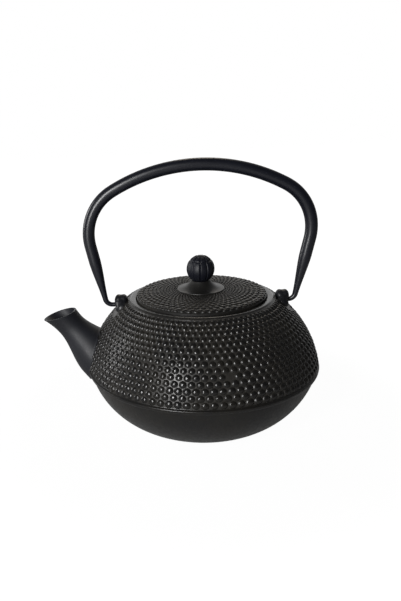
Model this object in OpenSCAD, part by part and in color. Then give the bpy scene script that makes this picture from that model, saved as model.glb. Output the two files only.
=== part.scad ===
// Cast iron teapot with a hobnailed body, a lift-off lid, a swinging bail and a lift-out infuser.
// Origin: centre of the flat base, on the table.  +Z is up, the spout points along -X, and the bail
// swings about a line parallel to X through the two ears.  Sizes are in millimetres.

/* [Pot] */
// Widest diameter of the body, over the tips of its hobnails
belly_d = 164; // [130:1:190]
// Height of the widest ring above the table
belly_z = 43.5; // [36:0.5:50]
// Height of the flat rim above the table
pot_h = 92.3; // [86:0.1:104]
// Diameter of the flat base
base_d = 84; // [60:1:100]
// Outer diameter of the smooth flat rim around the lid
rim_d = 100; // [98:1:112]
// How far the shoulder bulges out from a straight cone
shoulder_bulge = 6.3; // [3:0.1:9]
// How far the underside bulges out from a straight cone
under_bulge = 7.4; // [4:0.1:9]
// Height of the hobnailed zone's overhang between the widest ring and the smooth underside
band_drop = 2.4; // [1.5:0.1:4]
// How far the smooth underside is set back below the hobnailed zone
band_step = 0.9; // [0.4:0.1:1.6]
// Thickness of the cast wall
pot_wall = 3; // [2.6:0.1:4]
// Thickness of the pot's floor
floor_t = 4; // [3:0.1:6]
// Height of the small chamfer around the base
base_chamfer = 0.8; // [0.3:0.1:1.5]

/* [Hobnails] */
// Rings of hobnails on the pot's shoulder
nail_rings = 7; // [4:1:9]
// Hobnails in each ring of the pot
nail_count = 60; // [40:1:70]
// Height of the pot's hobnails over the ground between them
nail_h = 1; // [0.6:0.1:1.3]
// Diameter of the foot of a hobnail in the pot's widest ring
nail_d = 5.2; // [3:0.1:5.8]
// Width of the smooth edge beside the hobnails, at the widest ring and at the rim
nail_margin = 1.2; // [0.8:0.1:2]

/* [Mouth] */
// Diameter of the lid's edge
lid_d = 89.8; // [86:0.1:92]
// Gap between the lid's edge and the pot, all round
lid_gap = 0.5; // [0.3:0.1:1]
// Depth of the lid's seat below the rim
lid_seat_depth = 2.6; // [1.5:0.1:4]
// Width of the ledge that the lid rests on
lid_ledge = 1.9; // [1.2:0.1:2.5]
// Depth of the infuser's recess below the lid's seat
infuser_recess = 1.2; // [1:0.1:2]
// Width of the ledge that the infuser's flange rests on
infuser_ledge = 3; // [2:0.1:4]
// Height of the thick neck under the rim
neck_h = 9; // [8:0.1:11]

/* [Spout] */
// How far the middle of the spout's mouth stands out past the belly
spout_out = 17.6; // [14:0.1:24]
// Height of the middle of the mouth above the widest ring
spout_up = 38.2; // [32:0.1:42]
// Lean of the spout's axis above the table
spout_lean = 53; // [46:0.5:58]
// Slope of the spout's cut mouth, rising towards the pot
mouth_slope = 15.6; // [0:0.1:30]
// Diameter of the spout across its axis at the mouth
spout_mouth_d = 22; // [18:0.1:26]
// Diameter of the spout at its throat
spout_throat_d = 19.8; // [16:0.1:21]
// Distance of the throat from the mouth, along the axis
spout_throat_at = 10; // [7:0.5:14]
// Diameter of the spout's round root
spout_root_d = 37; // [32:0.5:40]
// Distance of the root's centre from the mouth, along the axis
spout_root_at = 42; // [38:0.5:46]
// Thickness of the spout's wall
spout_wall = 2.2; // [1.6:0.1:3]

/* [Ears] */
// Distance between the outer faces of the two ears
ear_span = 121.2; // [118:0.1:126]
// Thickness of an ear, along the bail's axis
ear_t = 9.6; // [8:0.1:12]
// How far the bail's axis lies below the pot's rim
pivot_drop = 4.8; // [3.5:0.1:5.5]
// Radius of an ear's middle lobe
ear_lobe_r = 4.6; // [4:0.1:6]
// Height of the middle lobe's centre above the bail's axis
ear_lobe_up = 2.7; // [1.5:0.1:4]
// Radius of an ear's side lobes
ear_side_r = 4; // [4:0.1:5]
// Distance of the side lobes' centres from the middle
ear_side_out = 4.8; // [4:0.1:6]
// Rounding of the lobes' edges
ear_round = 1.9; // [1:0.1:1.9]
// Depth of the blind hole in each ear
ear_hole_depth = 7.2; // [5:0.1:7.6]
// Free play around the bail's pins in their holes
pin_play = 0.4; // [0.3:0.05:0.6]

/* [Bail] */
// Diameter of the bail's round grip
grip_d = 8.2; // [7:0.1:10]
// Height of the grip's centre line at the top, above the bail's axis
bail_rise = 92.6; // [88:0.1:110]
// Radius of the long arc along the top
arch_r = 117.5; // [100:0.5:130]
// Half angle of the long arc
arch_deg = 29; // [26:0.5:32]
// Radius of the two shoulders of the bail
corner_r = 33.6; // [32:0.1:36]
// Inward lean of the bail's legs
leg_lean = 11.5; // [9:0.5:14]
// Length of the tapered end of each leg
taper_len = 27; // [15:0.5:32]
// Diameter of the bent hook below the taper
hook_d = 3.8; // [3.4:0.1:4.6]
// Radius of the hook's bend
hook_r = 5; // [4:0.1:6]
// Diameter of the straight pin that sits in the ear
pin_d = 3.2; // [2.6:0.1:3.4]
// Length of the straight pin
pin_len = 5.4; // [4.5:0.1:5.6]
// How far the bail sits towards the spout, within its end play
bail_shift = 1.1; // [0:0.1:1.6]

/* [Lid] */
// Height of the lid's upright edge above the pot's rim
lid_edge_h = 3.2; // [1:0.1:4]
// Rounding of the lid's upper edge
lid_round = 1.2; // [0.6:0.1:2]
// Height of the flat seat in the middle above the rounded edge
lid_crown = 1.6; // [0.4:0.1:3]
// How far the lid's top bulges between its edge and its middle
lid_bulge = 0.5; // [0.1:0.1:1]
// Thickness of the lid's plate
lid_t = 3.2; // [2.6:0.1:4.5]
// Thickness of the lid's locating skirt
skirt_t = 2.4; // [2:0.1:3]
// Depth of the locating skirt below the lid's seat
skirt_drop = 7.6; // [5:0.1:10]
// Gap between the skirt and the infuser's wall
skirt_gap = 1.1; // [0.6:0.1:1.6]

/* [Knob] */
// Diameter of the round knob
knob_d = 19.2; // [16:0.1:24]
// Height of the knob's middle above the top of its collar
knob_up = 7.9; // [6:0.1:8]
// Diameter of the collar's foot on the lid
collar_d = 32.6; // [28:0.1:38]
// Height of the collar's upright edge
collar_edge = 0.6; // [0.4:0.1:1.2]
// Whole height of the collar
collar_h = 6.2; // [4:0.1:9]
// Diameter of the collar's neck, under the knob
collar_neck_d = 13.2; // [12:0.1:15]
// How far the collar's flank is hollowed
collar_hollow = 1.3; // [0.5:0.1:2]
// Diameter of the rivet that holds the knob
rivet_d = 5; // [4:0.1:6]
// How far the rivet reaches up into the knob
rivet_reach = 7; // [5:0.1:9]
// Radial gap around the rivet
rivet_gap = 0.02; // [0.01:0.01:0.1]
// Diameter of the rivet's head under the lid
rivet_head_d = 8.8; // [7.5:0.1:11]
// Height of the rivet's head
rivet_head_h = 1.8; // [1.2:0.1:2.6]
// Diameter of the washer under the lid
washer_d = 14; // [12:0.1:18]
// Thickness of the washer
washer_t = 1; // [0.6:0.1:1.6]

/* [Infuser] */
// Depth of the infuser below its flange
infuser_depth = 44; // [36:0.5:46]
// Thickness of the flange and of its sheet-metal collar
sheet_t = 0.7; // [0.5:0.05:0.8]
// Gap between the flange's edge and the pot's recess
flange_gap = 0.5; // [0.3:0.1:0.8]
// Gap between the infuser and the pot's mouth
infuser_gap = 1.2; // [0.8:0.1:2]
// Depth of the collar that grips the mesh under the flange
rim_collar_h = 8; // [5:0.5:12]
// Thickness of the woven mesh
mesh_t = 0.5; // [0.4:0.05:0.8]
// Gap between the mesh and the sheet metal that grips it
mesh_gap = 0.05; // [0.02:0.01:0.1]
// Height of the band around the infuser's foot
foot_band_h = 7; // [5:0.5:10]
// Width of the lip under the infuser's foot
foot_lip = 2.4; // [1.5:0.1:4]

/* [Hidden] */
$fn = 96;
eps = 0.01;
arc_steps = 16;

belly_r = belly_d / 2;
base_r = base_d / 2;
rim_r = rim_d / 2;

// Mouth, from the lid inwards
lid_r = lid_d / 2;
lid_bore_r = lid_r + lid_gap;
recess_r = lid_bore_r - lid_ledge;
mouth_r = recess_r - infuser_ledge;
lid_seat_z = pot_h - lid_seat_depth;
flange_z = lid_seat_z - infuser_recess;
neck_z = pot_h - neck_h;

// Infuser, from the pot's mouth inwards
rim_collar_r = mouth_r - infuser_gap;
wall_r = rim_collar_r - sheet_t - mesh_gap;
wall_in_r = wall_r - mesh_t;
infuser_z = flange_z - infuser_depth;
floor_z = infuser_z + sheet_t;

// Lid, from its seat upwards
lid_edge_z = pot_h + lid_edge_h;
lid_pad_z = lid_edge_z + lid_crown;
lid_under_z = lid_pad_z - lid_t;
skirt_r = wall_in_r - skirt_gap;
skirt_z = lid_seat_z - skirt_drop;
collar_r = collar_d / 2;
collar_top_z = lid_pad_z + collar_h;
knob_z = collar_top_z + knob_up;
knob_r = knob_d / 2;
rivet_r = rivet_d / 2;
rivet_top_z = collar_top_z + rivet_reach;
washer_z = lid_under_z - washer_t;
rivet_bore_r = rivet_r + rivet_gap;

// Bail and ears
pivot_z = pot_h - pivot_drop;
ear_x = ear_span / 2 - ear_t / 2;
ear_hole_r = pin_d / 2 + pin_play;
bail_top_z = pivot_z + bail_rise;
grip_r = grip_d / 2;
hook_thin = 0.4;
bar_sides = 20;
corner_from = 90 - arch_deg;
arch_c = [0, bail_top_z - arch_r];
corner_c = arch_c + (arch_r - corner_r) * [cos(corner_from), sin(corner_from)];
leg_top = corner_c + corner_r * [cos(leg_lean), -sin(leg_lean)];
leg_way = [-sin(leg_lean), -cos(leg_lean)];
hook_top_z = pivot_z + hook_r * (1 - sin(leg_lean));
leg_end = leg_top + leg_way * (leg_top.y - hook_top_z) / cos(leg_lean);
taper_top = leg_end - leg_way * taper_len;
hook_c = leg_end - hook_r * [cos(leg_lean), -sin(leg_lean)];

// An arc is given by its two ends and its bulge to the right of the way from a to b
function arc_r(a, b, bulge) = (pow(norm(b - a) / 2, 2) + bulge * bulge) / (2 * bulge);
function arc_centre(a, b, bulge) =
    (a + b) / 2 + [a.y - b.y, b.x - a.x] / norm(b - a) * (arc_r(a, b, bulge) - bulge);
function heading(c, p) = atan2(p.y - c.y, p.x - c.x);
function arc(c, r, from, to, steps = arc_steps) =
    [for (i = [0:steps]) let (t = from + (to - from) * i / steps) c + r * [cos(t), sin(t)]];

// Body section: the shoulder is one arc above the widest ring, the underside one arc below the band
belly_p = [belly_r, belly_z];
rim_p = [rim_r, pot_h];
base_p = [base_r, base_chamfer];
band_p = [belly_r - 2 * band_step, belly_z - band_drop];
shoulder_c = arc_centre(belly_p, rim_p, shoulder_bulge);
shoulder_arc_r = arc_r(belly_p, rim_p, shoulder_bulge);
under_c = arc_centre(base_p, band_p, under_bulge);
under_arc_r = arc_r(base_p, band_p, under_bulge);
inner_shoulder_r = shoulder_arc_r - pot_wall;
inner_under_r = under_arc_r - pot_wall;

// Hobnails: each is a blunt cone that stands on ground set back by its own height
nail_sink = 0.4;
nail_tip = 0.45;
ground_r = shoulder_arc_r - nail_h;
shoulder_from = heading(shoulder_c, belly_p);
shoulder_to = heading(shoulder_c, rim_p);
margin_turn = nail_margin / shoulder_arc_r * 180 / PI;
nails_from = shoulder_from + margin_turn;
nails_to = shoulder_to - margin_turn;

// The spout swells smoothly from its throat to a round root, and flares a little at its mouth
spout_cut = 9;
throat_r = spout_throat_d / 2;
spout_mouth_r = spout_mouth_d / 2;
root_r = spout_root_d / 2;
function ease(t) = t * t * (3 - 2 * t);
function spout_r(s) =
    s < spout_throat_at
        ? throat_r + (spout_mouth_r - throat_r) * pow(1 - s / spout_throat_at, 2)
        : throat_r + (root_r - throat_r) * ease((s - spout_throat_at) / (spout_root_at - spout_throat_at));

// How far a point lies outside the spout
function spout_gap(p) =
    let (from_mouth = p - [-belly_r - spout_out, 0, belly_z + spout_up],
         way = [cos(spout_lean), 0, -sin(spout_lean)],
         s = from_mouth * way)
    norm(from_mouth - s * way) - spout_r(min(s, spout_root_at));

// How far a point lies outside the block that holds an ear's lobes
function ear_gap(p) =
    max(abs(abs(p.x) - ear_x) - ear_t / 2, abs(p.y) - ear_side_out - ear_side_r, pivot_z - ear_side_r - p.z);

// The spout's outline turned about its leaning axis, shrunk by an inset
module spout(inset) {
    translate([-belly_r - spout_out, 0, belly_z + spout_up])
        rotate([0, 90 + spout_lean, 0])
            rotate_extrude()
                polygon(concat(
                    [[0, -spout_cut]],
                    [for (i = [0:12])
                        let (s = -spout_cut + (spout_root_at + spout_cut) * i / 12)
                        [spout_r(s) - inset, s]],
                    arc([0, spout_root_at], root_r - inset, 10, 90, 6)));
}

// Everything above the spout's sloping mouth
module above_mouth() {
    reach = belly_r;
    translate([-belly_r - spout_out, 0, belly_z + spout_up])
        rotate([0, -mouth_slope, 0])
            translate([-reach / 2, -reach / 2, 0])
                cube([reach, reach, reach]);
}

// A disc with rounded edges, its axis along X
module rounded_disc(r, t, edge) {
    rotate([0, 90, 0])
        rotate_extrude()
            union() {
                translate([0, -t / 2])
                    square([r - edge, t]);
                translate([0, edge - t / 2])
                    square([r, t - 2 * edge]);
                for (side = [-1, 1])
                    translate([r - edge, side * (t / 2 - edge)])
                        circle(edge);
            }
}

// One ear: three rounded lobes and a foot that sinks into the shoulder
module ear() {
    translate([ear_x, 0, pivot_z]) {
        translate([0, 0, ear_lobe_up])
            rounded_disc(ear_lobe_r, ear_t, ear_round);
        for (side = [-1, 1])
            translate([0, side * ear_side_out, 0])
                rounded_disc(ear_side_r, ear_t, ear_round);
        translate([-ear_t / 2, -ear_side_out, -pot_wall])
            cube([ear_t, 2 * ear_side_out, pot_wall + ear_lobe_up]);
    }
}

// The blind hole for the bail's pin
module ear_hole() {
    translate([ear_span / 2 - ear_hole_depth, 0, pivot_z])
        rotate([0, 90, 0])
            cylinder(h = ear_hole_depth + ear_t, r = ear_hole_r);
}

module body_outside() {
    rotate_extrude()
        polygon(concat(
            [[0, 0], [base_r - base_chamfer, 0]],
            arc(under_c, under_arc_r, heading(under_c, base_p), heading(under_c, band_p)),
            [[belly_r - band_step, band_p.y + band_step / 2], [belly_r - band_step / 3, belly_z - band_drop / 2]],
            arc(shoulder_c, shoulder_arc_r, shoulder_from, nails_from, 1),
            arc(shoulder_c, ground_r, nails_from + margin_turn / 2, nails_to - margin_turn / 2),
            arc(shoulder_c, shoulder_arc_r, nails_to, shoulder_to, 1),
            [[0, pot_h]]));
}

// A blunt cone on a surface whose outward direction leans above the horizon
module nail(spot, turn, lean, d, h) {
    rotate([0, 0, turn])
        translate([spot.x, 0, spot.y])
            rotate([0, 90 - lean, 0])
                translate([0, 0, -nail_sink])
                    cylinder(h = h + nail_sink, d1 = d, d2 = d * nail_tip, $fn = 24);
}

// Rings of hobnails on the shoulder, clear of the spout and the ears
module pot_nails() {
    for (i = [0:nail_rings - 1]) {
        lean = nails_from + (nails_to - nails_from) * (i + 0.5) / nail_rings;
        spot = shoulder_c + ground_r * [cos(lean), sin(lean)];
        d = nail_d * spot.x / belly_r;
        for (k = [0:nail_count - 1]) {
            turn = (k + (i % 2) / 2) * 360 / nail_count;
            p = [spot.x * cos(turn), spot.x * sin(turn), spot.y];
            if (spout_gap(p) > d && ear_gap(p) > d / 2)
                nail(spot, turn, lean, d, nail_h);
        }
    }
}

module body_inside() {
    rotate_extrude()
        polygon(concat(
            [[0, floor_t]],
            arc(under_c, inner_under_r, asin((floor_t - under_c.y) / inner_under_r), heading(under_c, band_p)),
            arc(shoulder_c, inner_shoulder_r, heading(shoulder_c, belly_p),
                asin((neck_z - shoulder_c.y) / inner_shoulder_r)),
            [[mouth_r, neck_z], [mouth_r, flange_z], [recess_r, flange_z], [recess_r, lid_seat_z],
             [lid_bore_r, lid_seat_z], [lid_bore_r, pot_h + 1], [0, pot_h + 1]]));
}

module pot_body() {
    color("#2a2a2c")
        difference() {
            union() {
                body_outside();
                pot_nails();
                difference() {
                    spout(0);
                    above_mouth();
                }
                ear();
                mirror([1, 0, 0])
                    ear();
            }
            body_inside();
            spout(spout_wall);
            ear_hole();
            mirror([1, 0, 0])
                ear_hole();
        }
}

// A closed solid through a list of rings that all have the same number of points
module loft(rings) {
    n = len(rings[0]);
    m = len(rings);
    sides = [for (i = [0:m - 2], k = [0:n - 1], half = [0, 1])
        let (a = i * n + k, b = i * n + (k + 1) % n)
        half == 0 ? [a, b, b + n] : [a, b + n, a + n]];
    polyhedron([for (ring = rings) each ring],
        concat([[for (k = [n - 1:-1:0]) k]], sides, [[for (k = [0:n - 1]) (m - 1) * n + k]]));
}

// Right half of the bail's centre line, from the top down: [x, z, heading, radius of the bar]
function bent(c, r, from, to, steps, bar_a, bar_b) =
    [for (i = [0:steps])
        let (t = from + (to - from) * i / steps)
        [c.x + r * cos(t), c.y + r * sin(t), t - 90, bar_a + (bar_b - bar_a) * i / steps]];
bail_half =
    concat(
        bent(arch_c, arch_r, 90, corner_from, 7, grip_r, grip_r),
        bent(corner_c, corner_r, corner_from - 6, -leg_lean, 11, grip_r, grip_r),
        [[taper_top.x, taper_top.y, -90 - leg_lean, grip_r]],
        bent(hook_c, hook_r, -leg_lean, -90, 7, hook_d / 2, hook_d / 2 - hook_thin),
        [[hook_c.x - 1, pivot_z, -180, hook_d / 2 - hook_thin]]);
bail_line =
    concat(
        [for (i = [len(bail_half) - 1:-1:1])
            let (s = bail_half[i])
            [-s[0], s[1], -s[2], s[3]]],
        bail_half);

module bail_pin() {
    translate([hook_c.x - pin_len, 0, pivot_z])
        rotate([0, 90, 0])
            cylinder(h = pin_len, r = pin_d / 2);
}

module bail_handle() {
    color("#20232a")
        translate([-bail_shift, 0, 0]) {
            loft([for (s = bail_line)
                [for (k = [0:bar_sides - 1])
                    let (a = 360 * k / bar_sides, out = s[3] * cos(a))
                    [s[0] - out * sin(s[2]), s[3] * sin(a), s[1] + out * cos(s[2])]]]);
            bail_pin();
            mirror([1, 0, 0])
                bail_pin();
        }
}

module lid() {
    edge_c = [lid_r - lid_round, lid_edge_z - lid_round];
    edge_p = [edge_c.x, lid_edge_z];
    pad_p = [collar_r, lid_pad_z];
    top_c = arc_centre(edge_p, pad_p, lid_bulge);
    color("#33302e")
        rotate_extrude()
            polygon(concat(
                [[rivet_bore_r, lid_under_z], [skirt_r - skirt_t, lid_under_z], [skirt_r - skirt_t, skirt_z],
                 [skirt_r, skirt_z], [skirt_r, lid_seat_z], [lid_r, lid_seat_z]],
                arc(edge_c, lid_round, 0, 90, 6),
                arc(top_c, arc_r(edge_p, pad_p, lid_bulge), heading(top_c, edge_p), heading(top_c, pad_p), 8),
                [[rivet_bore_r, lid_pad_z]]));
}

module knob_collar() {
    foot_p = [collar_r, lid_pad_z + collar_edge];
    neck_p = [collar_neck_d / 2, collar_top_z];
    flank_c = arc_centre(neck_p, foot_p, collar_hollow);
    color("#2b2c31")
        rotate_extrude()
            polygon(concat(
                [[rivet_bore_r, lid_pad_z], [collar_r, lid_pad_z]],
                arc(flank_c, arc_r(neck_p, foot_p, collar_hollow),
                    heading(flank_c, foot_p), heading(flank_c, neck_p), 10),
                [[rivet_bore_r, collar_top_z]]));
}

module lid_knob() {
    color("#1f2229")
        difference() {
            translate([0, 0, knob_z])
                sphere(knob_r);
            translate([-knob_r, -knob_r, collar_top_z - knob_d])
                cube([knob_d, knob_d, knob_d]);
            translate([0, 0, collar_top_z - 1])
                cylinder(h = rivet_reach + 1 + rivet_gap, r = rivet_bore_r);
        }
}

module knob_rivet() {
    head_z = washer_z - rivet_head_h;
    color("#4a4a4c") {
        translate([0, 0, washer_z - eps])
            cylinder(h = rivet_top_z - washer_z + eps, r = rivet_r);
        rotate_extrude()
            polygon(concat(
                [[0, washer_z], [0, head_z]],
                arc([rivet_head_d / 2 - rivet_head_h, washer_z], rivet_head_h, -90, 0, 6)));
    }
}

module rivet_washer() {
    color("#8d8f92")
        translate([0, 0, washer_z])
            difference() {
                cylinder(h = washer_t, d = washer_d);
                translate([0, 0, -1])
                    cylinder(h = washer_t + 2, r = rivet_bore_r);
            }
}

// A plain ring between two radii and two heights
module ring(r_in, r_out, z_low, z_high) {
    rotate_extrude()
        translate([r_in, z_low])
            square([r_out - r_in, z_high - z_low]);
}

module infuser_rim() {
    color("#c4c6c8")
        rotate_extrude()
            union() {
                translate([rim_collar_r - sheet_t, flange_z])
                    square([recess_r - flange_gap - rim_collar_r + sheet_t, sheet_t]);
                translate([rim_collar_r - sheet_t, flange_z - rim_collar_h])
                    square([sheet_t, rim_collar_h + sheet_t]);
            }
}

module infuser_wall() {
    color("#a9abad")
        ring(wall_in_r, wall_r, floor_z + mesh_t, flange_z);
}

module infuser_floor() {
    color("#a9abad")
        translate([0, 0, floor_z])
            cylinder(h = mesh_t, r = wall_r);
}

module infuser_foot_band() {
    color("#c4c6c8")
        rotate_extrude()
            union() {
                translate([rim_collar_r - sheet_t, infuser_z])
                    square([sheet_t, foot_band_h]);
                translate([rim_collar_r - foot_lip, infuser_z])
                    square([foot_lip, sheet_t]);
            }
}

pot_body();
bail_handle();
lid();
knob_collar();
lid_knob();
knob_rivet();
rivet_washer();
infuser_rim();
infuser_wall();
infuser_floor();
infuser_foot_band();
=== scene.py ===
"""Cast iron teapot with a hobnailed body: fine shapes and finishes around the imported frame.

Blender's units are metres, with +Z up and the origin at the centre of the pot's base. The spout points
along -X and the bail swings about a line parallel to X. Sizes in the classes are millimetres.
"""
import logging
import math
from collections.abc import Callable, Sequence
from dataclasses import dataclass, field
from enum import Enum

import bmesh
import bpy
import numpy as np
from mathutils import Euler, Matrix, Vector


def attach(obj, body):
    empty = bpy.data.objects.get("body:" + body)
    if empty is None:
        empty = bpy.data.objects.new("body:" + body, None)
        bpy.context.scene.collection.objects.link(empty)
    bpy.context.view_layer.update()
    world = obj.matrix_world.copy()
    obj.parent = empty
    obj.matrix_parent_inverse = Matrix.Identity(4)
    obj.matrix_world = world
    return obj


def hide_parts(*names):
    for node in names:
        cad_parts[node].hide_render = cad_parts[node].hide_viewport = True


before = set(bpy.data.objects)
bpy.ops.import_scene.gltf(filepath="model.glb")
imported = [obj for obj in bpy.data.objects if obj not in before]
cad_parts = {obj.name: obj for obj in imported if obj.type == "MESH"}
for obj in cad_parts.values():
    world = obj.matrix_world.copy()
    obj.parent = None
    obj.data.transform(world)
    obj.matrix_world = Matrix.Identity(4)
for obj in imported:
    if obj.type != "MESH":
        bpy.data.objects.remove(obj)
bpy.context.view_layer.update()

MM = 0.001
TURN = 2 * math.pi
ACROSS = np.array([0.0, 1.0, 0.0])
WHITE = (1.0, 1.0, 1.0, 1.0)
SAME_PLACE = 1e-7  # Points closer than this, in metres, are one.
ON_AXIS = 1e-6  # A radius below this, in millimetres, is on the axis.
FINE = 0.05  # The step, in millimetres, over which a slope is measured.

log = logging.getLogger("teapot")

Pair = tuple[float, float]
Triple = tuple[float, float, float]
Face = tuple[int, ...]


class Body(Enum):
    """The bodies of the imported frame."""

    POT = "pot"
    BAIL = "bail"
    INFUSER = "infuser"
    LID = "lid"


# ---- Node graphs ----


class Value:
    """A node's output socket that takes part in Python arithmetic."""

    def __init__(self, graph: "Graph", socket: bpy.types.NodeSocket) -> None:
        """Wrap one socket.

        Args:
            graph: The graph that holds the socket's node.
            socket: The output socket.
        """
        self.graph = graph
        self.socket = socket

    def _maths(self, operation: str, *values: "Value | float") -> "Value":
        """Add one Math node."""
        return self.graph.maths(operation, *values)

    def __add__(self, other: "Value | float") -> "Value":
        """Add."""
        return self._maths("ADD", self, other)

    def __radd__(self, other: float) -> "Value":
        """Add, with the number first."""
        return self._maths("ADD", other, self)

    def __sub__(self, other: "Value | float") -> "Value":
        """Subtract."""
        return self._maths("SUBTRACT", self, other)

    def __rsub__(self, other: float) -> "Value":
        """Subtract from a number."""
        return self._maths("SUBTRACT", other, self)

    def __mul__(self, other: "Value | float") -> "Value":
        """Multiply."""
        return self._maths("MULTIPLY", self, other)

    def __rmul__(self, other: float) -> "Value":
        """Multiply, with the number first."""
        return self._maths("MULTIPLY", other, self)

    def __truediv__(self, other: "Value | float") -> "Value":
        """Divide."""
        return self._maths("DIVIDE", self, other)

    def __mod__(self, other: "Value | float") -> "Value":
        """Remainder."""
        return self._maths("MODULO", self, other)

    def __lt__(self, other: "Value | float") -> "Value":
        """One where this is less than the other, and nought elsewhere."""
        return self._maths("LESS_THAN", self, other)

    def __gt__(self, other: "Value | float") -> "Value":
        """One where this is greater than the other, and nought elsewhere."""
        return self._maths("GREATER_THAN", self, other)

    def floor(self) -> "Value":
        """The whole part."""
        return self._maths("FLOOR", self)

    def clamp(self, low: float = 0.0, high: float = 1.0) -> "Value":
        """Limit to a range.

        Args:
            low: The least value.
            high: The greatest value.

        Returns:
            The limited value.
        """
        return self._maths("MINIMUM", self._maths("MAXIMUM", self, low), high)

    def spread(self, low: float, high: float, to_low: float = 0.0, to_high: float = 1.0) -> "Value":
        """Map one range on another, with a smooth start and end.

        Args:
            low: Start of the source range.
            high: End of the source range.
            to_low: Result at the start.
            to_high: Result at the end.

        Returns:
            The mapped value.
        """
        names = ("Value", "From Min", "From Max", "To Min", "To Max")
        return self.graph.value(
            "ShaderNodeMapRange",
            {"interpolation_type": "SMOOTHSTEP"},
            dict(zip(names, (self, low, high, to_low, to_high))),
            "Result",
        )


class Graph:
    """A node tree that is built from expressions."""

    def __init__(self, tree: bpy.types.NodeTree) -> None:
        """Start with an empty tree.

        Args:
            tree: The node tree to fill.
        """
        self.tree = tree
        tree.nodes.clear()

    def node(
        self,
        kind: str,
        settings: dict[str, object] | None = None,
        inputs: dict[str | int, object] | None = None,
    ) -> bpy.types.Node:
        """Add one node.

        Args:
            kind: The node's type.
            settings: Its settings, which are made before its sockets are used.
            inputs: What each named or numbered socket holds: a number, a colour, a Value or a socket.

        Returns:
            The new node.
        """
        made = self.tree.nodes.new(kind)
        for name, setting in (settings or {}).items():
            setattr(made, name, setting)
        for name, given in (inputs or {}).items():
            self.plug(given, made.inputs[name])
        return made

    def plug(self, given: object, socket: bpy.types.NodeSocket) -> None:
        """Link a value to a socket, or set the socket.

        Args:
            given: A Value, a socket or a plain value.
            socket: The input socket.
        """
        if isinstance(given, Value):
            self.tree.links.new(given.socket, socket)
        elif isinstance(given, bpy.types.NodeSocket):
            self.tree.links.new(given, socket)
        else:
            socket.default_value = given

    def value(
        self, kind: str, settings: dict[str, object], inputs: dict[str | int, object], output: str | int
    ) -> Value:
        """Add one node and take one of its outputs.

        Args:
            kind: The node's type.
            settings: Its settings.
            inputs: Its sockets' values or links.
            output: The output's name or number.

        Returns:
            The output.
        """
        return Value(self, self.node(kind, settings, inputs).outputs[output])

    def maths(self, operation: str, *values: Value | float) -> Value:
        """Add one Math node.

        Args:
            operation: The Math node's operation.
            values: One, two or three values.

        Returns:
            The result.
        """
        return self.value("ShaderNodeMath", {"operation": operation}, dict(enumerate(values)), 0)

    def vector(self, x: Value | float, y: Value | float, z: Value | float) -> Value:
        """Join three values into a vector."""
        return self.value("ShaderNodeCombineXYZ", {}, {"X": x, "Y": y, "Z": z}, 0)

    def parts(self, vector: Value | bpy.types.NodeSocket) -> dict[str, Value]:
        """Split a vector.

        Args:
            vector: The vector.

        Returns:
            Its three values, by the names X, Y and Z.
        """
        split = self.node("ShaderNodeSeparateXYZ", {}, {0: vector})
        return {axis: Value(self, split.outputs[axis]) for axis in "XYZ"}

    def mix(self, factor: Value, low: Value | Triple, high: Value | Triple) -> Value:
        """Blend two colours.

        Args:
            factor: How much of the second colour.
            low: The first colour.
            high: The second colour.

        Returns:
            The blended colour.
        """
        ends = [given if isinstance(given, Value) else (*given, 1.0) for given in (low, high)]
        return self.value("ShaderNodeMix", {"data_type": "RGBA"}, {0: factor, 6: ends[0], 7: ends[1]}, 2)


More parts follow.
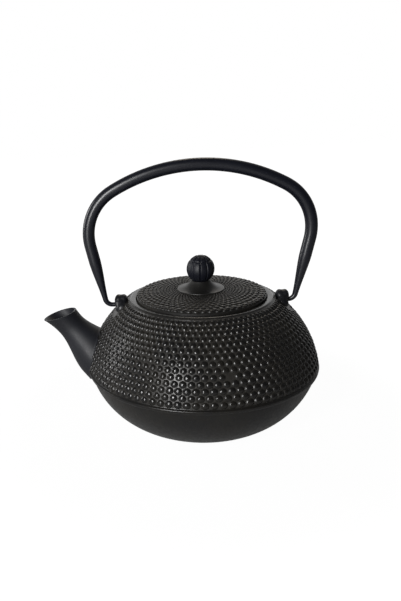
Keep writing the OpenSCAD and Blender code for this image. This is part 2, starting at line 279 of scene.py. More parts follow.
class GeometryGraph(Graph):
    """A Geometry Nodes tree with named inputs, which makes one plain piece."""

    def __init__(self, name: str, kinds: dict[str, str]) -> None:
        """Start a tree.

        Args:
            name: The tree's name, and the piece's.
            kinds: Name of each input and what its socket holds. One of them is the finish.
        """
        super().__init__(bpy.data.node_groups.new(name, "GeometryNodeTree"))
        for label, kind in kinds.items():
            self.tree.interface.new_socket(label, in_out="INPUT", socket_type="NodeSocket" + kind)
        self.tree.interface.new_socket("Geometry", in_out="OUTPUT", socket_type="NodeSocketGeometry")
        given = self.node("NodeGroupInput")
        self.size = {label: Value(self, given.outputs[label]) for label in kinds}

    def shape_of(self, thing: Value) -> Value:
        """The mesh of an object that an input holds."""
        return self.value("GeometryNodeObjectInfo", {}, {"Object": thing}, "Geometry")

    def copies(self, points: Value, instance: Value, **sockets: Value) -> Value:
        """One copy of a shape at each point, with any further sockets."""
        given = {"Points": points, "Instance": instance, **sockets}
        return self.value("GeometryNodeInstanceOnPoints", {}, given, 0)

    def row(self, count: Value, start: Value, step: Value) -> Value:
        """Points in a straight row."""
        given = {"Count": count, "Start Location": start, "Offset": step}
        return self.value("GeometryNodeMeshLine", {"mode": "OFFSET"}, given, 0)

    def stick(self, start: Value | Triple, end: Value | Triple) -> Value:
        """A straight curve."""
        given = {"Start": start, "End": end}
        return self.value("GeometryNodeCurvePrimitiveLine", {"mode": "POINTS"}, given, 0)

    def circle(self, radius: Value, sides: int) -> Value:
        """A round curve of so many straight sides."""
        given = {"Resolution": sides, "Radius": radius}
        return self.value("GeometryNodeCurvePrimitiveCircle", {"mode": "RADIUS"}, given, 0)

    def wire(self, line: Value, thick: Value) -> Value:
        """Thicken a curve into a square wire, with closed ends."""
        given = {"Curve": line, "Profile Curve": self.circle(thick * 0.5, 4), "Fill Caps": True}
        return self.value("GeometryNodeCurveToMesh", {}, given, 0)

    def piece(self, shape: Value, given: dict[str, object], crease: float) -> bpy.types.Object:
        """End the tree with real faces and their finish, and turn what it makes into a plain mesh.

        Args:
            shape: The geometry to end with.
            given: What each input holds.
            crease: Edges that turn by more than this many degrees stay crisp.

        Returns:
            The piece.
        """
        real = self.value("GeometryNodeRealizeInstances", {}, {"Geometry": shape}, 0)
        sockets = {"Geometry": real, "Material": self.size["Finish"]}
        self.node("NodeGroupOutput", {}, {"Geometry": self.value("GeometryNodeSetMaterial", {}, sockets, 0)})
        made = add_object(self.tree.name, bpy.data.meshes.new(self.tree.name))
        nodes = made.modifiers.new("nodes", "NODES")
        nodes.node_group = self.tree
        for item in self.tree.interface.items_tree:
            if item.in_out == "INPUT":
                nodes[item.identifier] = given[item.name]
        bake(made)
        smooth(made.data, crease)
        return made


# ---- Finishes ----


@dataclass(frozen=True)
class Finish:
    """A surface with its own procedural material, and the name of the record's slot that it belongs to."""

    name: str
    slot: str
    roughness: float
    specular: float = 0.5

    def material(self) -> bpy.types.Material:
        """Make the material, or take the one already made.

        Returns:
            The material.
        """
        made = bpy.data.materials.get(self.name)
        if made:
            return made
        made = bpy.data.materials.new(self.name)
        made.use_nodes = True
        graph = Graph(made.node_tree)
        shader = graph.node("ShaderNodeBsdfPrincipled", {}, {"Specular IOR Level": self.specular})
        graph.node("ShaderNodeOutputMaterial", {}, {"Surface": shader.outputs[0]})
        self.dress(graph, shader)
        return made

    def dress(self, graph: Graph, shader: bpy.types.Node) -> None:
        """Fill in the shader's colour, roughness and relief.

        Args:
            graph: The material's graph.
            shader: The shader that it ends with.
        """
        raise NotImplementedError

    @staticmethod
    def place(graph: Graph, stretch: Triple = (1.0, 1.0, 1.0)) -> Value:
        """The surface's own coordinates.

        Args:
            graph: The graph to add to.
            stretch: How much each axis is stretched.

        Returns:
            The coordinates in millimetres.
        """
        scale = [s / MM for s in stretch]
        source = graph.value("ShaderNodeTexCoord", {}, {}, "Object")
        return graph.value("ShaderNodeMapping", {}, {"Vector": source, "Scale": scale}, 0)

    @staticmethod
    def noise(graph: Graph, place: Value, size: float, detail: float = 2.0) -> Value:
        """Cloudy noise.

        Args:
            graph: The graph to add to.
            place: Coordinates in millimetres.
            size: Size of one cloud in millimetres.
            detail: How many finer layers it has.

        Returns:
            The noise, from nought to one.
        """
        sockets = {"Vector": place, "Scale": 1 / size, "Detail": detail, "Roughness": 0.55}
        return graph.value("ShaderNodeTexNoise", {}, sockets, "Fac")

    @staticmethod
    def attribute(graph: Graph, name: str) -> Value:
        """A number that the mesh stores at its points."""
        return graph.value("ShaderNodeAttribute", {"attribute_name": name}, {}, "Fac")

    @staticmethod
    def relief(graph: Graph, shader: bpy.types.Node, height: Value, depth: float) -> None:
        """Raise the surface by a height of nought to one, times a depth in millimetres."""
        sockets = {"Strength": 1.0, "Distance": depth * MM, "Height": height}
        graph.plug(graph.value("ShaderNodeBump", {}, sockets, 0), shader.inputs["Normal"])


@dataclass(frozen=True)
class CastIron(Finish):
    """Sand-cast iron under a thin matt enamel, rubbed at the tips and streaked by its mould.

    The sizes of its clouds, specks, streaks and grain are in millimetres, and so is the grain's depth.
    """

    dark: Triple = (0.0075, 0.0075, 0.008)
    warm: Triple = (0.013, 0.0118, 0.0098)
    # Pale colour of the ground between the hobnails; on the spout, the colour of a painted glint along its
    # lip.
    net: Triple = (0.027, 0.025, 0.022)
    cloud: float = 26.0
    speck: float = 1.1
    streak: float = 1.7
    grain: float = 0.45
    grain_depth: float = 0.035
    polish: float = 0.12
    tooling: float = 0.0

    def dress(self, graph: Graph, shader: bpy.types.Node) -> None:
        """Cloudy dark iron with a fine sand grain, paler on the ground between the hobnails and in a painted
        glint.

        Args:
            graph: The material's graph.
            shader: The shader that it ends with.
        """
        place, upright = self.place(graph), self.place(graph, (1.0, 1.0, 0.1))
        clouds = self.noise(graph, place, self.cloud, 4.0).spread(0.38, 0.66)
        specks = self.noise(graph, place, self.speck, 3.0)
        grain = self.noise(graph, place, self.grain)
        streaks = self.noise(graph, upright, self.streak).spread(0.3, 0.7) * self.tooling
        net, tip = self.attribute(graph, "net"), self.attribute(graph, "tip")
        ground = graph.mix(clouds * 0.7 + specks * 0.15 + streaks * 0.5, self.dark, self.warm)
        # Share of the pale colour: the ground between the hobnails, and a painted glint on the spout's lip.
        paler = (net * (0.45 + specks * 0.75)).clamp()
        graph.plug(graph.mix(paler, ground, self.net), shader.inputs["Base Color"])
        rough = self.roughness + (specks - 0.5) * 0.16 + clouds * 0.04 - tip * self.polish - streaks * 0.12
        graph.plug(rough.clamp(0.15, 0.9), shader.inputs["Roughness"])
        self.relief(graph, shader, grain * 0.6 + specks * 0.9 + streaks * 1.2, self.grain_depth)


@dataclass(frozen=True)
class SatinPaint(Finish):
    """Sprayed satin paint, smooth with a slight orange peel."""

    dark: Triple = (0.0045, 0.005, 0.0085)
    pale: Triple = (0.0075, 0.0085, 0.0142)
    cloud: float = 14.0
    dust: float = 0.9
    peel: float = 3.0
    peel_depth: float = 0.004

    def dress(self, graph: Graph, shader: bpy.types.Node) -> None:
        """Even dark colour, with a faint change along the piece and small dust specks.

        Args:
            graph: The material's graph.
            shader: The shader that it ends with.
        """
        place = self.place(graph)
        clouds = self.noise(graph, place, self.cloud, 3.0)
        dust = self.noise(graph, place, self.dust, 1.0).spread(0.66, 0.80)
        colour = graph.mix((clouds + dust * 0.5).clamp(), self.dark, self.pale)
        graph.plug(colour, shader.inputs["Base Color"])
        rough = self.roughness + (clouds - 0.5) * 0.10 + dust * 0.05
        graph.plug(rough.clamp(), shader.inputs["Roughness"])
        self.relief(graph, shader, self.noise(graph, place, self.peel, 0.0), self.peel_depth)


@dataclass(frozen=True)
class Enamel(Finish):
    """Glossy enamel inside the pot and under the lid, thick enough to pool a little."""

    colour: Triple = (0.011, 0.011, 0.012)
    wave: float = 5.0
    pit: float = 0.6
    depth: float = 0.12

    def dress(self, graph: Graph, shader: bpy.types.Node) -> None:
        """Near black with soft waves and fine pinholes.

        Args:
            graph: The material's graph.
            shader: The shader that it ends with.
        """
        place = self.place(graph)
        waves = self.noise(graph, place, self.wave)
        pits = self.noise(graph, place, self.pit).spread(0.3, 0.42)
        paler = tuple(2.2 * part for part in self.colour)
        graph.plug(graph.mix((1 - pits) * 0.8, self.colour, paler), shader.inputs["Base Color"])
        graph.plug((self.roughness + (1 - pits) * 0.25).clamp(), shader.inputs["Roughness"])
        self.relief(graph, shader, waves * 0.8 + pits * 0.2, self.depth)


@dataclass(frozen=True)
class Steel(Finish):
    """Stainless steel, drawn or turned, with fine lines round the Z axis."""

    colour: Triple = (0.56, 0.56, 0.57)
    smear: float = 9.0
    line: float = 0.12
    line_depth: float = 0.006

    def dress(self, graph: Graph, shader: bpy.types.Node) -> None:
        """Bright metal whose roughness follows its fine lines.

        Args:
            graph: The material's graph.
            shader: The shader that it ends with.
        """
        lines = self.noise(graph, self.place(graph, (0.02, 0.02, 1.0)), self.line)
        smears = self.noise(graph, self.place(graph), self.smear, 3.0)
        darker = tuple(0.72 * part for part in self.colour)
        colour = graph.mix((lines * 0.5 + smears * 0.5).clamp(), darker, self.colour)
        graph.plug(colour, shader.inputs["Base Color"])
        shader.inputs["Metallic"].default_value = 1.0
        rough = self.roughness + (lines - 0.5) * 0.2 + (smears - 0.5) * 0.12
        graph.plug(rough.clamp(), shader.inputs["Roughness"])
        self.relief(graph, shader, lines, self.line_depth)


IRON = CastIron("pot iron", "body_iron", 0.38, 0.42, polish=0.14, tooling=0.8)
LID_IRON = CastIron(
    "lid iron", "lid_iron", 0.52, 0.38, polish=0.22,
    dark=(0.008, 0.0075, 0.007), warm=(0.014, 0.012, 0.009), net=(0.012, 0.011, 0.009),
)
COLLAR_IRON = CastIron("collar iron", "collar_iron", 0.42, 0.45, grain_depth=0.02)
# The spout's pale colour is a painted highlight: a glint along the top of its lip.
SPOUT_IRON = CastIron(
    "spout iron", "body_iron", 0.50, 0.42, grain_depth=0.02,
    dark=(0.0085, 0.0092, 0.0125), warm=(0.012, 0.013, 0.0175), net=(0.16, 0.16, 0.17),
)
EAR_IRON = CastIron(
    "ear iron", "body_iron", 0.38, 0.5, grain_depth=0.025,
    dark=(0.007, 0.0074, 0.0095), warm=(0.010, 0.0105, 0.0135),
)
BAIL_PAINT = SatinPaint("bail paint", "bail_paint", 0.33)
KNOB_PAINT = SatinPaint("knob paint", "knob_paint", 0.46, 0.3)
INSIDE = Enamel("inside enamel", "body_iron", 0.18, 0.3)
LID_INSIDE = Enamel("lid enamel", "lid_iron", 0.2)
RIVET_STEEL = Steel("rivet steel", "rivet_steel", 0.42, colour=(0.3, 0.3, 0.31))
SHEET_STEEL = Steel("sheet steel", "sheet_steel", 0.24)
MESH_STEEL = Steel("mesh steel", "mesh_steel", 0.3, colour=(0.5, 0.5, 0.51))


# ---- Plane geometry and meshes ----


@dataclass(frozen=True)
class Arc:
    """A circular arc in a plane, from one angle to another."""

    centre: Pair
    radius: float
    start: float
    end: float

    @classmethod
    def between(cls, a: Pair, b: Pair, bulge: float) -> "Arc":
        """The arc from a to b that bulges to the right of the way.

        Args:
            a: Its first point.
            b: Its last point.
            bulge: Its greatest distance from the chord.

        Returns:
            The arc.
        """
        first, last = np.array(a), np.array(b)
        chord = float(np.linalg.norm(last - first))
        radius = (chord * chord / 4 + bulge * bulge) / (2 * bulge)
        side = np.array([first[1] - last[1], last[0] - first[0]]) / chord
        centre = (first + last) / 2 + side * (radius - bulge)
        start, end = (math.atan2(*(p - centre)[::-1]) for p in (first, last))
        return cls((float(centre[0]), float(centre[1])), radius, start, end)

    def grown(self, by: float) -> "Arc":
        """The same arc with another radius."""
        return Arc(self.centre, self.radius + by, self.start, self.end)

    @property
    def length(self) -> float:
        """Length along the arc."""
        return abs(self.end - self.start) * self.radius

    def points(self, shares: np.ndarray, inset: np.ndarray | float = 0.0) -> np.ndarray:
        """Points on the arc, or inside it.

        Args:
            shares: Places along the arc, from nought to one.
            inset: How far each point lies inside the arc.

        Returns:
            One row for each point.
        """
        angle = self.start + (self.end - self.start) * np.asarray(shares)
        radius = self.radius - inset
        x, z = self.centre
        return np.stack([x + radius * np.cos(angle), z + radius * np.sin(angle)], -1)


def ease(x: np.ndarray | float) -> np.ndarray:
    """A smooth step from nought to one."""
    x = np.clip(x, 0.0, 1.0)
    return x * x * (3 - 2 * x)


def turns(sides: int) -> np.ndarray:
    """Even angles round a whole turn."""
    return np.arange(sides) / sides * TURN


def add_object(name: str, data: bpy.types.ID) -> bpy.types.Object:
    """Put a new object in the scene.

    Args:
        name: The object's name.
        data: Its mesh, lamp or camera.

    Returns:
        The object.
    """
    made = bpy.data.objects.new(name, data)
    bpy.context.scene.collection.objects.link(made)
    return made


def new_piece(
    name: str, points: np.ndarray, faces: Sequence[Sequence[int]], finish: Finish, crease: float = 38.0
) -> bpy.types.Object:
    """Make one mesh object from points in millimetres.

    Args:
        name: The piece's name.
        points: One row for each vertex.
        faces: Vertex numbers of each face.
        finish: What the surface is.
        crease: Edges that turn by more than this many degrees stay crisp.

    Returns:
        The object, in metres, with its faces pointing outwards.
    """
    mesh = bpy.data.meshes.new(name)
    mesh.from_pydata((np.asarray(points) * MM).tolist(), [], [list(f) for f in faces])
    piece = add_object(name, mesh)
    face_out(mesh)
    mesh.materials.append(finish.material())
    smooth(mesh, crease)
    return piece


def face_out(mesh: bpy.types.Mesh) -> None:
    """Merge doubles and turn the faces outwards.

    Args:
        mesh: The mesh to mend.
    """
    edit = bmesh.new()
    edit.from_mesh(mesh)
    bmesh.ops.remove_doubles(edit, verts=edit.verts, dist=SAME_PLACE)
    bmesh.ops.recalc_face_normals(edit, faces=edit.faces)
    edit.to_mesh(mesh)
    edit.free()


def smooth(mesh: bpy.types.Mesh, crease: float) -> None:
    """Shade a mesh smoothly, with crisp edges above an angle in degrees."""
    mesh.shade_smooth()
    mesh.set_sharp_from_angle(angle=math.radians(crease))


def tube_faces(rings: int, sides: int, loop: bool = False) -> list[Face]:
    """Faces of a grid that closes round its sides.

    Args:
        rings: How many rings of vertices there are.
        sides: How many vertices each ring has.
        loop: Whether the last ring joins the first.

    Returns:
        The faces.
    """
    faces = []
    for i in range(rings if loop else rings - 1):
        low, high = i * sides, (i + 1) % rings * sides
        for k in range(sides):
            n = (k + 1) % sides
            faces.append((low + k, low + n, high + n, high + k))
    return faces


def fans(first: int, sides: int) -> list[Face]:
    """Faces that close a tube's two ends on two poles, which follow its rings.

    Args:
        first: Number of the first pole.
        sides: How many vertices each ring has.

    Returns:
        The faces.
    """
    faces: list[Face] = []
    for k in range(sides):
        n = (k + 1) % sides
        faces += [(first, n, k), (first + 1, first - sides + k, first - sides + n)]
    return faces


def capped(rings: np.ndarray) -> tuple[np.ndarray, list[Face]]:
    """A tube through rings of points, with a pole at the middle of each end.

    Args:
        rings: The points, by ring and by place in the ring.

    Returns:
        Its points and faces.
    """
    count, sides, _ = rings.shape
    points = np.concatenate([rings.reshape(-1, 3), rings[[0, -1]].mean(axis=1)])
    return points, tube_faces(count, sides) + fans(count * sides, sides)


def turned(
    name: str, profile: np.ndarray, finish: Finish, sides: int = 160, crease: float = 38.0
) -> bpy.types.Object:
    """A closed profile turned about the Z axis.

    Args:
        name: The piece's name.
        profile: Radius and height of each point, round the section. A profile that starts and ends on
            the axis makes a solid, and any other is closed into a ring.
        finish: What the surface is.
        sides: How many steps there are in a turn.
        crease: Edges that turn by more than this many degrees stay crisp.

    Returns:
        The object.
    """
    profile = np.asarray(profile, float)
    ring = np.stack([np.cos(turns(sides)), np.sin(turns(sides))], -1)
    solid = profile[0, 0] < ON_AXIS
    wall = profile[1:-1] if solid else profile
    points = np.concatenate([wall[:, None, :1] * ring[None], np.repeat(wall[:, None, 1:], sides, 1)], -1)
    points = points.reshape(-1, 3)
    faces = tube_faces(len(wall), sides, loop=not solid)
    if solid:
        points = np.concatenate([points, [[0, 0, profile[0, 1]], [0, 0, profile[-1, 1]]]])
        faces += fans(len(points) - 2, sides)
    return new_piece(name, points, faces, finish, crease)


def rounded(corners: Sequence[Pair], radii: Sequence[float], steps: int = 4) -> np.ndarray:
    """A closed outline with each corner rounded.

    Args:
        corners: The outline's corners.
        radii: The rounding of each corner.
        steps: How many steps each rounding has.

    Returns:
        The outline's points.
    """
    out: list[np.ndarray] = []
    for i, (corner, radius) in enumerate(zip(corners, radii)):
        here = np.array(corner, float)
        back = np.array(corners[i - 1], float) - here
        ahead = np.array(corners[(i + 1) % len(corners)], float) - here
        a, b = (v / np.linalg.norm(v) for v in (back, ahead))
        half = math.acos(float(np.clip(a @ b, -1, 1))) / 2
        reach = min(radius / math.tan(half), 0.45 * min(np.linalg.norm(back), np.linalg.norm(ahead)))
        out += [here + a * reach * (1 - t) ** 2 + b * reach * t**2 for t in np.linspace(0, 1, steps + 1)]
    return np.array(out)


def store(mesh: bpy.types.Mesh, name: str, numbers: np.ndarray) -> None:
    """Store one number at each point of a mesh."""
    made = mesh.attributes.new(name, "FLOAT", "POINT")
    made.data.foreach_set("value", np.asarray(numbers, np.float32))


def read(items: bpy.types.bpy_prop_collection, name: str) -> np.ndarray:
    """Read one vector of each face or point of a mesh.

    Args:
        items: The mesh's faces or points.
        name: Which of their vectors.

    Returns:
        Three rows, of X, Y and Z in millimetres.
    """
    flat = np.empty(len(items) * 3)
    items.foreach_get(name, flat)
    return flat.reshape(-1, 3).T / MM


def poured(name: str, edit: bmesh.types.BMesh) -> bpy.types.Mesh:
    """Turn a mesh that was being edited into a plain one.

    Args:
        name: The mesh's name.
        edit: What was edited, which is freed.

    Returns:
        The mesh.
    """
    mesh = bpy.data.meshes.new(name)
    edit.to_mesh(mesh)
    edit.free()
    return mesh


def cut(piece: bpy.types.Object, tool: bpy.types.Object) -> None:
    """Cut a tool's shape out of a piece.

    Args:
        piece: The piece to cut.
        tool: What is cut out, which is removed.
    """
    settings = piece.modifiers.new("cut", "BOOLEAN")
    settings.operation = "DIFFERENCE"
    settings.object = tool
    settings.solver = "EXACT"
    bake(piece)
    bpy.data.objects.remove(tool)


def bake(piece: bpy.types.Object) -> None:
    """Turn a piece and its modifiers into a plain mesh.

    Args:
        piece: The piece.
    """
    bpy.context.view_layer.update()
    depsgraph = bpy.context.evaluated_depsgraph_get()
    made = bpy.data.meshes.new_from_object(piece.evaluated_get(depsgraph), depsgraph=depsgraph)
    piece.modifiers.clear()
    piece.data = made


def seat(piece: bpy.types.Object, body: Body, finish: Finish, *nodes: str) -> None:
    """Ride a finished piece on its body.

    Args:
        piece: The piece.
        body: The body.
        finish: The finish, which is not used.
        nodes: The nodes that it stands for.
    """
    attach(piece, body.value)
    if nodes:
        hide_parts(*nodes)
    log.info("%s rides on %s, %d faces", piece.name, body.value, len(piece.data.polygons))


# ---- Hobnails ----


@dataclass(frozen=True)
class Hobnails:
    """Rings of small cast domes, set out by Geometry Nodes."""

    name: str
    per_ring: int
    phase: float
    finish: Finish
    keep_clear: float = 0.3
    blank_ring: int = -1
    blank_place: int = -1
    unevenness: float = 0.06
    seed: int = 7

    DOME_SIDES = 10
    NUDGE = 0.0001  # Keeps a whole number of rings whole when it is rounded down.
    # How far out and how high each ring of a dome is, from its pole to its sunk foot.
    DOME_RINGS = ((0.34, 0.94), (0.62, 0.74), (0.84, 0.40), (1.0, 0.02), (1.06, -0.14))
    INPUTS = {
        "Rows": "Object", "Dome": "Object", "Keep Out": "Object", "Per Ring": "Int", "Phase": "Float",
        "Keep Clear": "Float", "Fill": "Float", "Unevenness": "Float", "Blank Ring": "Int",
        "Blank Place": "Int", "Seed": "Int", "Finish": "Material",
    }

    def dome(self) -> bpy.types.Object:
        """One dome of unit radius and height, open below.

        Returns:
            The dome's object, which is removed after use.
        """
        sides = self.DOME_SIDES
        points, height = [(0.0, 0.0, 1.0)], [1.0]
        for reach, rise in self.DOME_RINGS:
            points += [(reach * math.cos(a), reach * math.sin(a), rise) for a in turns(sides)]
            height += [rise] * sides
        faces: list[Face] = [(0, 1 + k, 1 + (k + 1) % sides) for k in range(sides)]
        faces += [tuple(v + 1 for v in f[::-1]) for f in tube_faces(len(self.DOME_RINGS), sides)]
        mesh = bpy.data.meshes.new(self.name + "_dome")
        mesh.from_pydata(points, [], faces)
        mesh.shade_smooth()
        store(mesh, "tip", ease(np.array(height)))
        store(mesh, "net", ease(1 - np.array(height) * 3.2))
        return add_object(mesh.name, mesh)

    def rows(
        self, line: np.ndarray, lean: np.ndarray, along: np.ndarray, rise: np.ndarray
    ) -> bpy.types.Object:
        """One point for each ring of domes, with the ring's sizes.

        Args:
            line: Radius and height of each ring, on the ground between the domes.
            lean: Angle of the ground's outward direction above the horizon, in radians.
            along: Half length of a dome along the slope.
            rise: Height of a dome.

        Returns:
            The object, which is removed after use.
        """
        mesh = bpy.data.meshes.new(self.name + "_rows")
        mesh.from_pydata([(r * MM, 0, z * MM) for r, z in line], [], [])
        store(mesh, "lean", lean)
        store(mesh, "along", along * MM)
        store(mesh, "rise", rise * MM)
        return add_object(mesh.name, mesh)

    @staticmethod
    def free(g: GeometryGraph, ring: Value, place: Value) -> Value:
        """Where a dome may stand.

        Args:
            g: The graph to add to.
            ring: Number of each place's ring.
            place: Number of each place in its ring.

        Returns:
            One where it isn't the blank place, nor near or inside what must stay bare.
        """
        size = g.size
        wall = g.shape_of(size["Keep Out"])
        near = g.value("GeometryNodeProximity", {"target_element": "FACES"}, {0: wall}, "Distance")
        blank = g.maths("COMPARE", ring, size["Blank Ring"], 0.1)
        blank = blank * g.maths("COMPARE", place, size["Blank Place"], 0.1)
        ray = {"Target Geometry": wall, "Ray Direction": (0.0, 0.0, 1.0), "Ray Length": 1.0}
        up = g.node("GeometryNodeRaycast", {}, ray)
        inside = Value(g, up.outputs["Is Hit"]) * (g.parts(up.outputs["Hit Normal"])["Z"] > 0.0)
        return (near < size["Keep Clear"]) + blank + inside < 0.5

    def tree(self) -> tuple[GeometryGraph, Value]:
        """The node tree that sets one dome at each free place of each ring.

        Returns:
            The tree's graph, with its sizes as named inputs, and its domes.
        """
        g = GeometryGraph(self.name, self.INPUTS)
        size = g.size
        rows = g.shape_of(size["Rows"])
        count = g.value("GeometryNodeAttributeDomainSize", {}, {0: rows}, "Point Count")
        start = g.value("GeometryNodeMeshLine", {}, {"Count": count * size["Per Ring"]}, 0)
        index = g.value("GeometryNodeInputIndex", {}, {}, 0)
        ring = (index / size["Per Ring"] + self.NUDGE).floor()
        place = index - ring * size["Per Ring"]

        def of_row(kind: str, field: Value) -> Value:
            """A field of the row's point."""
            given = {"Geometry": rows, "Value": field, "Index": ring}
            return g.value("GeometryNodeSampleIndex", {"data_type": kind}, given, 0)

        def number(name: str) -> Value:
            """A stored number of the row's point."""
            stored = g.value("GeometryNodeInputNamedAttribute", {"data_type": "FLOAT"}, {"Name": name}, 0)
            return of_row("FLOAT", stored)

        spot = g.parts(of_row("FLOAT_VECTOR", g.value("GeometryNodeInputPosition", {}, {}, 0)))
        radius, height = spot["X"], spot["Z"]
        angle = (place + (ring % 2) * 0.5) * TURN / size["Per Ring"] + size["Phase"]
        cosine, sine = g.maths("COSINE", angle), g.maths("SINE", angle)
        lean = number("lean")
        level, steep = g.maths("COSINE", lean), g.maths("SINE", lean)
        axes = {
            "Primary Axis": g.vector(level * cosine, level * sine, steep),
            "Secondary Axis": g.vector(g.maths("MULTIPLY", sine, -1.0), cosine, 0.0),
        }
        turn = g.value("FunctionNodeAxesToRotation", {"primary_axis": "Z", "secondary_axis": "X"}, axes, 0)
        limits = {2: 1 - size["Unevenness"], 3: 1 + size["Unevenness"], "Seed": size["Seed"]}
        uneven = g.value("FunctionNodeRandomValue", {"data_type": "FLOAT"}, limits, 1)
        half = radius * math.pi / size["Per Ring"] * size["Fill"]
        scale = g.vector(half * uneven, number("along") * size["Fill"] * uneven, number("rise") * uneven)
        spots = {"Geometry": start, "Position": g.vector(radius * cosine, radius * sine, height)}
        placed = g.value("GeometryNodeSetPosition", {}, spots, 0)
        domes = g.copies(
            placed, g.shape_of(size["Dome"]), Selection=self.free(g, ring, place), Rotation=turn, Scale=scale
        )
        return g, domes

    def build(self, rows: bpy.types.Object, keep_out: bpy.types.Object, fill: float) -> bpy.types.Object:
        """Set out the domes as one plain mesh.

        Args:
            rows: The rings' points, which are removed.
            keep_out: No dome stands closer to this than keep_clear.
            fill: How much of its cell each dome fills.

        Returns:
            The piece.
        """
        dome = self.dome()
        graph, domes = self.tree()
        given = {
            "Rows": rows, "Dome": dome, "Keep Out": keep_out, "Per Ring": self.per_ring, "Phase": self.phase,
            "Keep Clear": self.keep_clear * MM, "Fill": fill, "Unevenness": self.unevenness,
            "Blank Ring": self.blank_ring, "Blank Place": self.blank_place, "Seed": self.seed,
            "Finish": self.finish.material(),
        }
        piece = graph.piece(domes, given, 60.0)
        for used in (rows, dome):
            bpy.data.objects.remove(used)
        return piece


# ---- The pot ----


@dataclass(frozen=True)
class PotShape:
    """The pot's section, as lines and distances.

    The hobnails' height falls from nail_low to nail_high up the shoulder. The ground between them sinks
    over foot_fade from foot_at, and comes up again over top_fade before top_at, both along the arc.
    """

    belly_r: float = 82.0
    belly_z: float = 43.5
    pot_h: float = 92.3
    base_r: float = 42.0
    rim_r: float = 50.0
    shoulder_bulge: float = 6.3
    under_bulge: float = 7.4
    band_drop: float = 2.4
    band_step: float = 0.9
    wall: float = 3.0
    floor_t: float = 4.0
    base_chamfer: float = 0.8
    bore_r: float = 45.4
    recess_r: float = 43.5
    mouth_r: float = 40.5
    seat_z: float = 89.7
    flange_z: float = 88.5
    neck_z: float = 83.3
    nail_low: float = 1.15
    nail_high: float = 0.8
    foot_at: float = 0.1
    foot_fade: float = 1.3
    top_at: float = 0.2
    top_fade: float = 2.4
    edge: float = 0.45
    foot_r: float = 30.0
    middle_r: float = 12.0

    # How far the ledge's steps lie inside the belly and above the band.
    LEDGE = ((0.95, 0.2), (0.45, 0.6), (0.15, 1.3))
    # How far the brim's steps lie inside the rim and below the top.
    BRIM = ((0.35, 0.62), (0.8, 0.24), (1.3, 0.05), (1.7, 0.0))

    @property
    def shoulder(self) -> Arc:
        """The arc over the hobnails' tips, from the widest ring to the rim."""
        return Arc.between((self.belly_r, self.belly_z), (self.rim_r, self.pot_h), self.shoulder_bulge)

    @property
    def under(self) -> Arc:
        """The arc of the smooth underside, from the base to the band."""
        band = (self.belly_r - 2 * self.band_step, self.belly_z - self.band_drop)
        return Arc.between((self.base_r, self.base_chamfer), band, self.under_bulge)

    def nail(self, share: np.ndarray) -> np.ndarray:
        """Height of the hobnails at a share of the way up the shoulder."""
        return self.nail_low + (self.nail_high - self.nail_low) * np.asarray(share)

    def ground(self, share: np.ndarray) -> np.ndarray:
        """The ground between the hobnails, which rises to the tips at both of its ends.

        Args:
            share: Shares of the way up the shoulder.

        Returns:
            How far the ground lies inside the shoulder's arc.
        """
        along = np.asarray(share) * self.shoulder.length
        left = self.shoulder.length - along
        sunk = ease((along - self.foot_at) / self.foot_fade) * ease((left - self.top_at) / self.top_fade)
        return self.nail(share) * sunk

    def outside(self) -> np.ndarray:
        """Section of the outside from the middle of the base to the rim.

        Returns:
            Radius and height of each point.
        """
        under = self.under.points(np.linspace(0, 1, 44))
        band_r, band_z = under[-1]
        chamfer = self.base_r - self.base_chamfer
        foot = [(0, 0), (self.foot_r, 0), (chamfer, 0), (self.base_r - 0.25, 0.22)]
        ledge = [(band_r + 0.12, band_z + 0.05)]
        ledge += [(self.belly_r - inside, band_z + up) for inside, up in self.LEDGE]
        low, high = np.linspace(0, 0.04, 9)[:-1], np.linspace(0.94, 0.978, 8)[1:]
        share = np.concatenate([low, np.linspace(0.04, 0.94, 52), high])
        shoulder = self.shoulder.points(share, self.ground(share))
        brim = [(self.rim_r - inside, self.pot_h - down) for inside, down in self.BRIM]
        return np.concatenate([foot, under, ledge, shoulder, brim])

    def inside(self) -> np.ndarray:
        """Section of the inside from the rim's inner edge down to the middle of the floor.

        Returns:
            Radius and height of each point.
        """
        shoulder, under = self.shoulder.grown(-self.wall), self.under.grown(-self.wall)
        top = math.asin((self.neck_z - shoulder.centre[1]) / shoulder.radius)
        low = math.asin((self.floor_t - under.centre[1]) / under.radius)
        steps = np.linspace(0, 1, 26)
        upper = Arc(shoulder.centre, shoulder.radius, top, shoulder.start).points(steps)
        lower = Arc(under.centre, under.radius, under.end, low).points(steps)
        e, half_way = self.edge, 0.12
        mouth = [
            (self.bore_r + e, self.pot_h), (self.bore_r + half_way, self.pot_h - half_way),
            (self.bore_r, self.pot_h - e), (self.bore_r, self.seat_z),
            (self.recess_r, self.seat_z), (self.recess_r, self.flange_z),
            (self.mouth_r + e, self.flange_z), (self.mouth_r, self.flange_z - e),
            (self.mouth_r, self.neck_z + e), (self.mouth_r + e, self.neck_z),
        ]
        return np.concatenate([mouth, upper, lower, [(self.middle_r, self.floor_t), (0, self.floor_t)]])

    def distance(self, points: np.ndarray) -> np.ndarray:
        """Signed distance from the ground's surface, positive outside.

        Args:
            points: One row of x, y and z for each point.

        Returns:
            One distance for each point.
        """
        share = np.linspace(0, 0.97, 40)
        sunk = np.minimum(self.ground(share), self.nail(share) * 0.97)
        line = np.concatenate([self.under.points(np.linspace(0.3, 1, 24)), self.shoulder.points(share, sunk)])
        a, b = line[:-1], line[1:]
        flat = np.stack([np.hypot(points[:, 0], points[:, 1]), points[:, 2]], -1)[:, None]
        way = b - a
        length = (way**2).sum(-1)
        t = np.clip(((flat - a) * way).sum(-1) / length, 0, 1)
        gap = flat - a - t[..., None] * way
        away = np.linalg.norm(gap, axis=-1)
        nearest = away.argmin(-1)
        normal = np.stack([way[:, 1], -way[:, 0]], -1)
        row = np.arange(len(points))
        side = np.sign((gap[row, nearest] * normal[nearest]).sum(-1))
        return away[row, nearest] * side

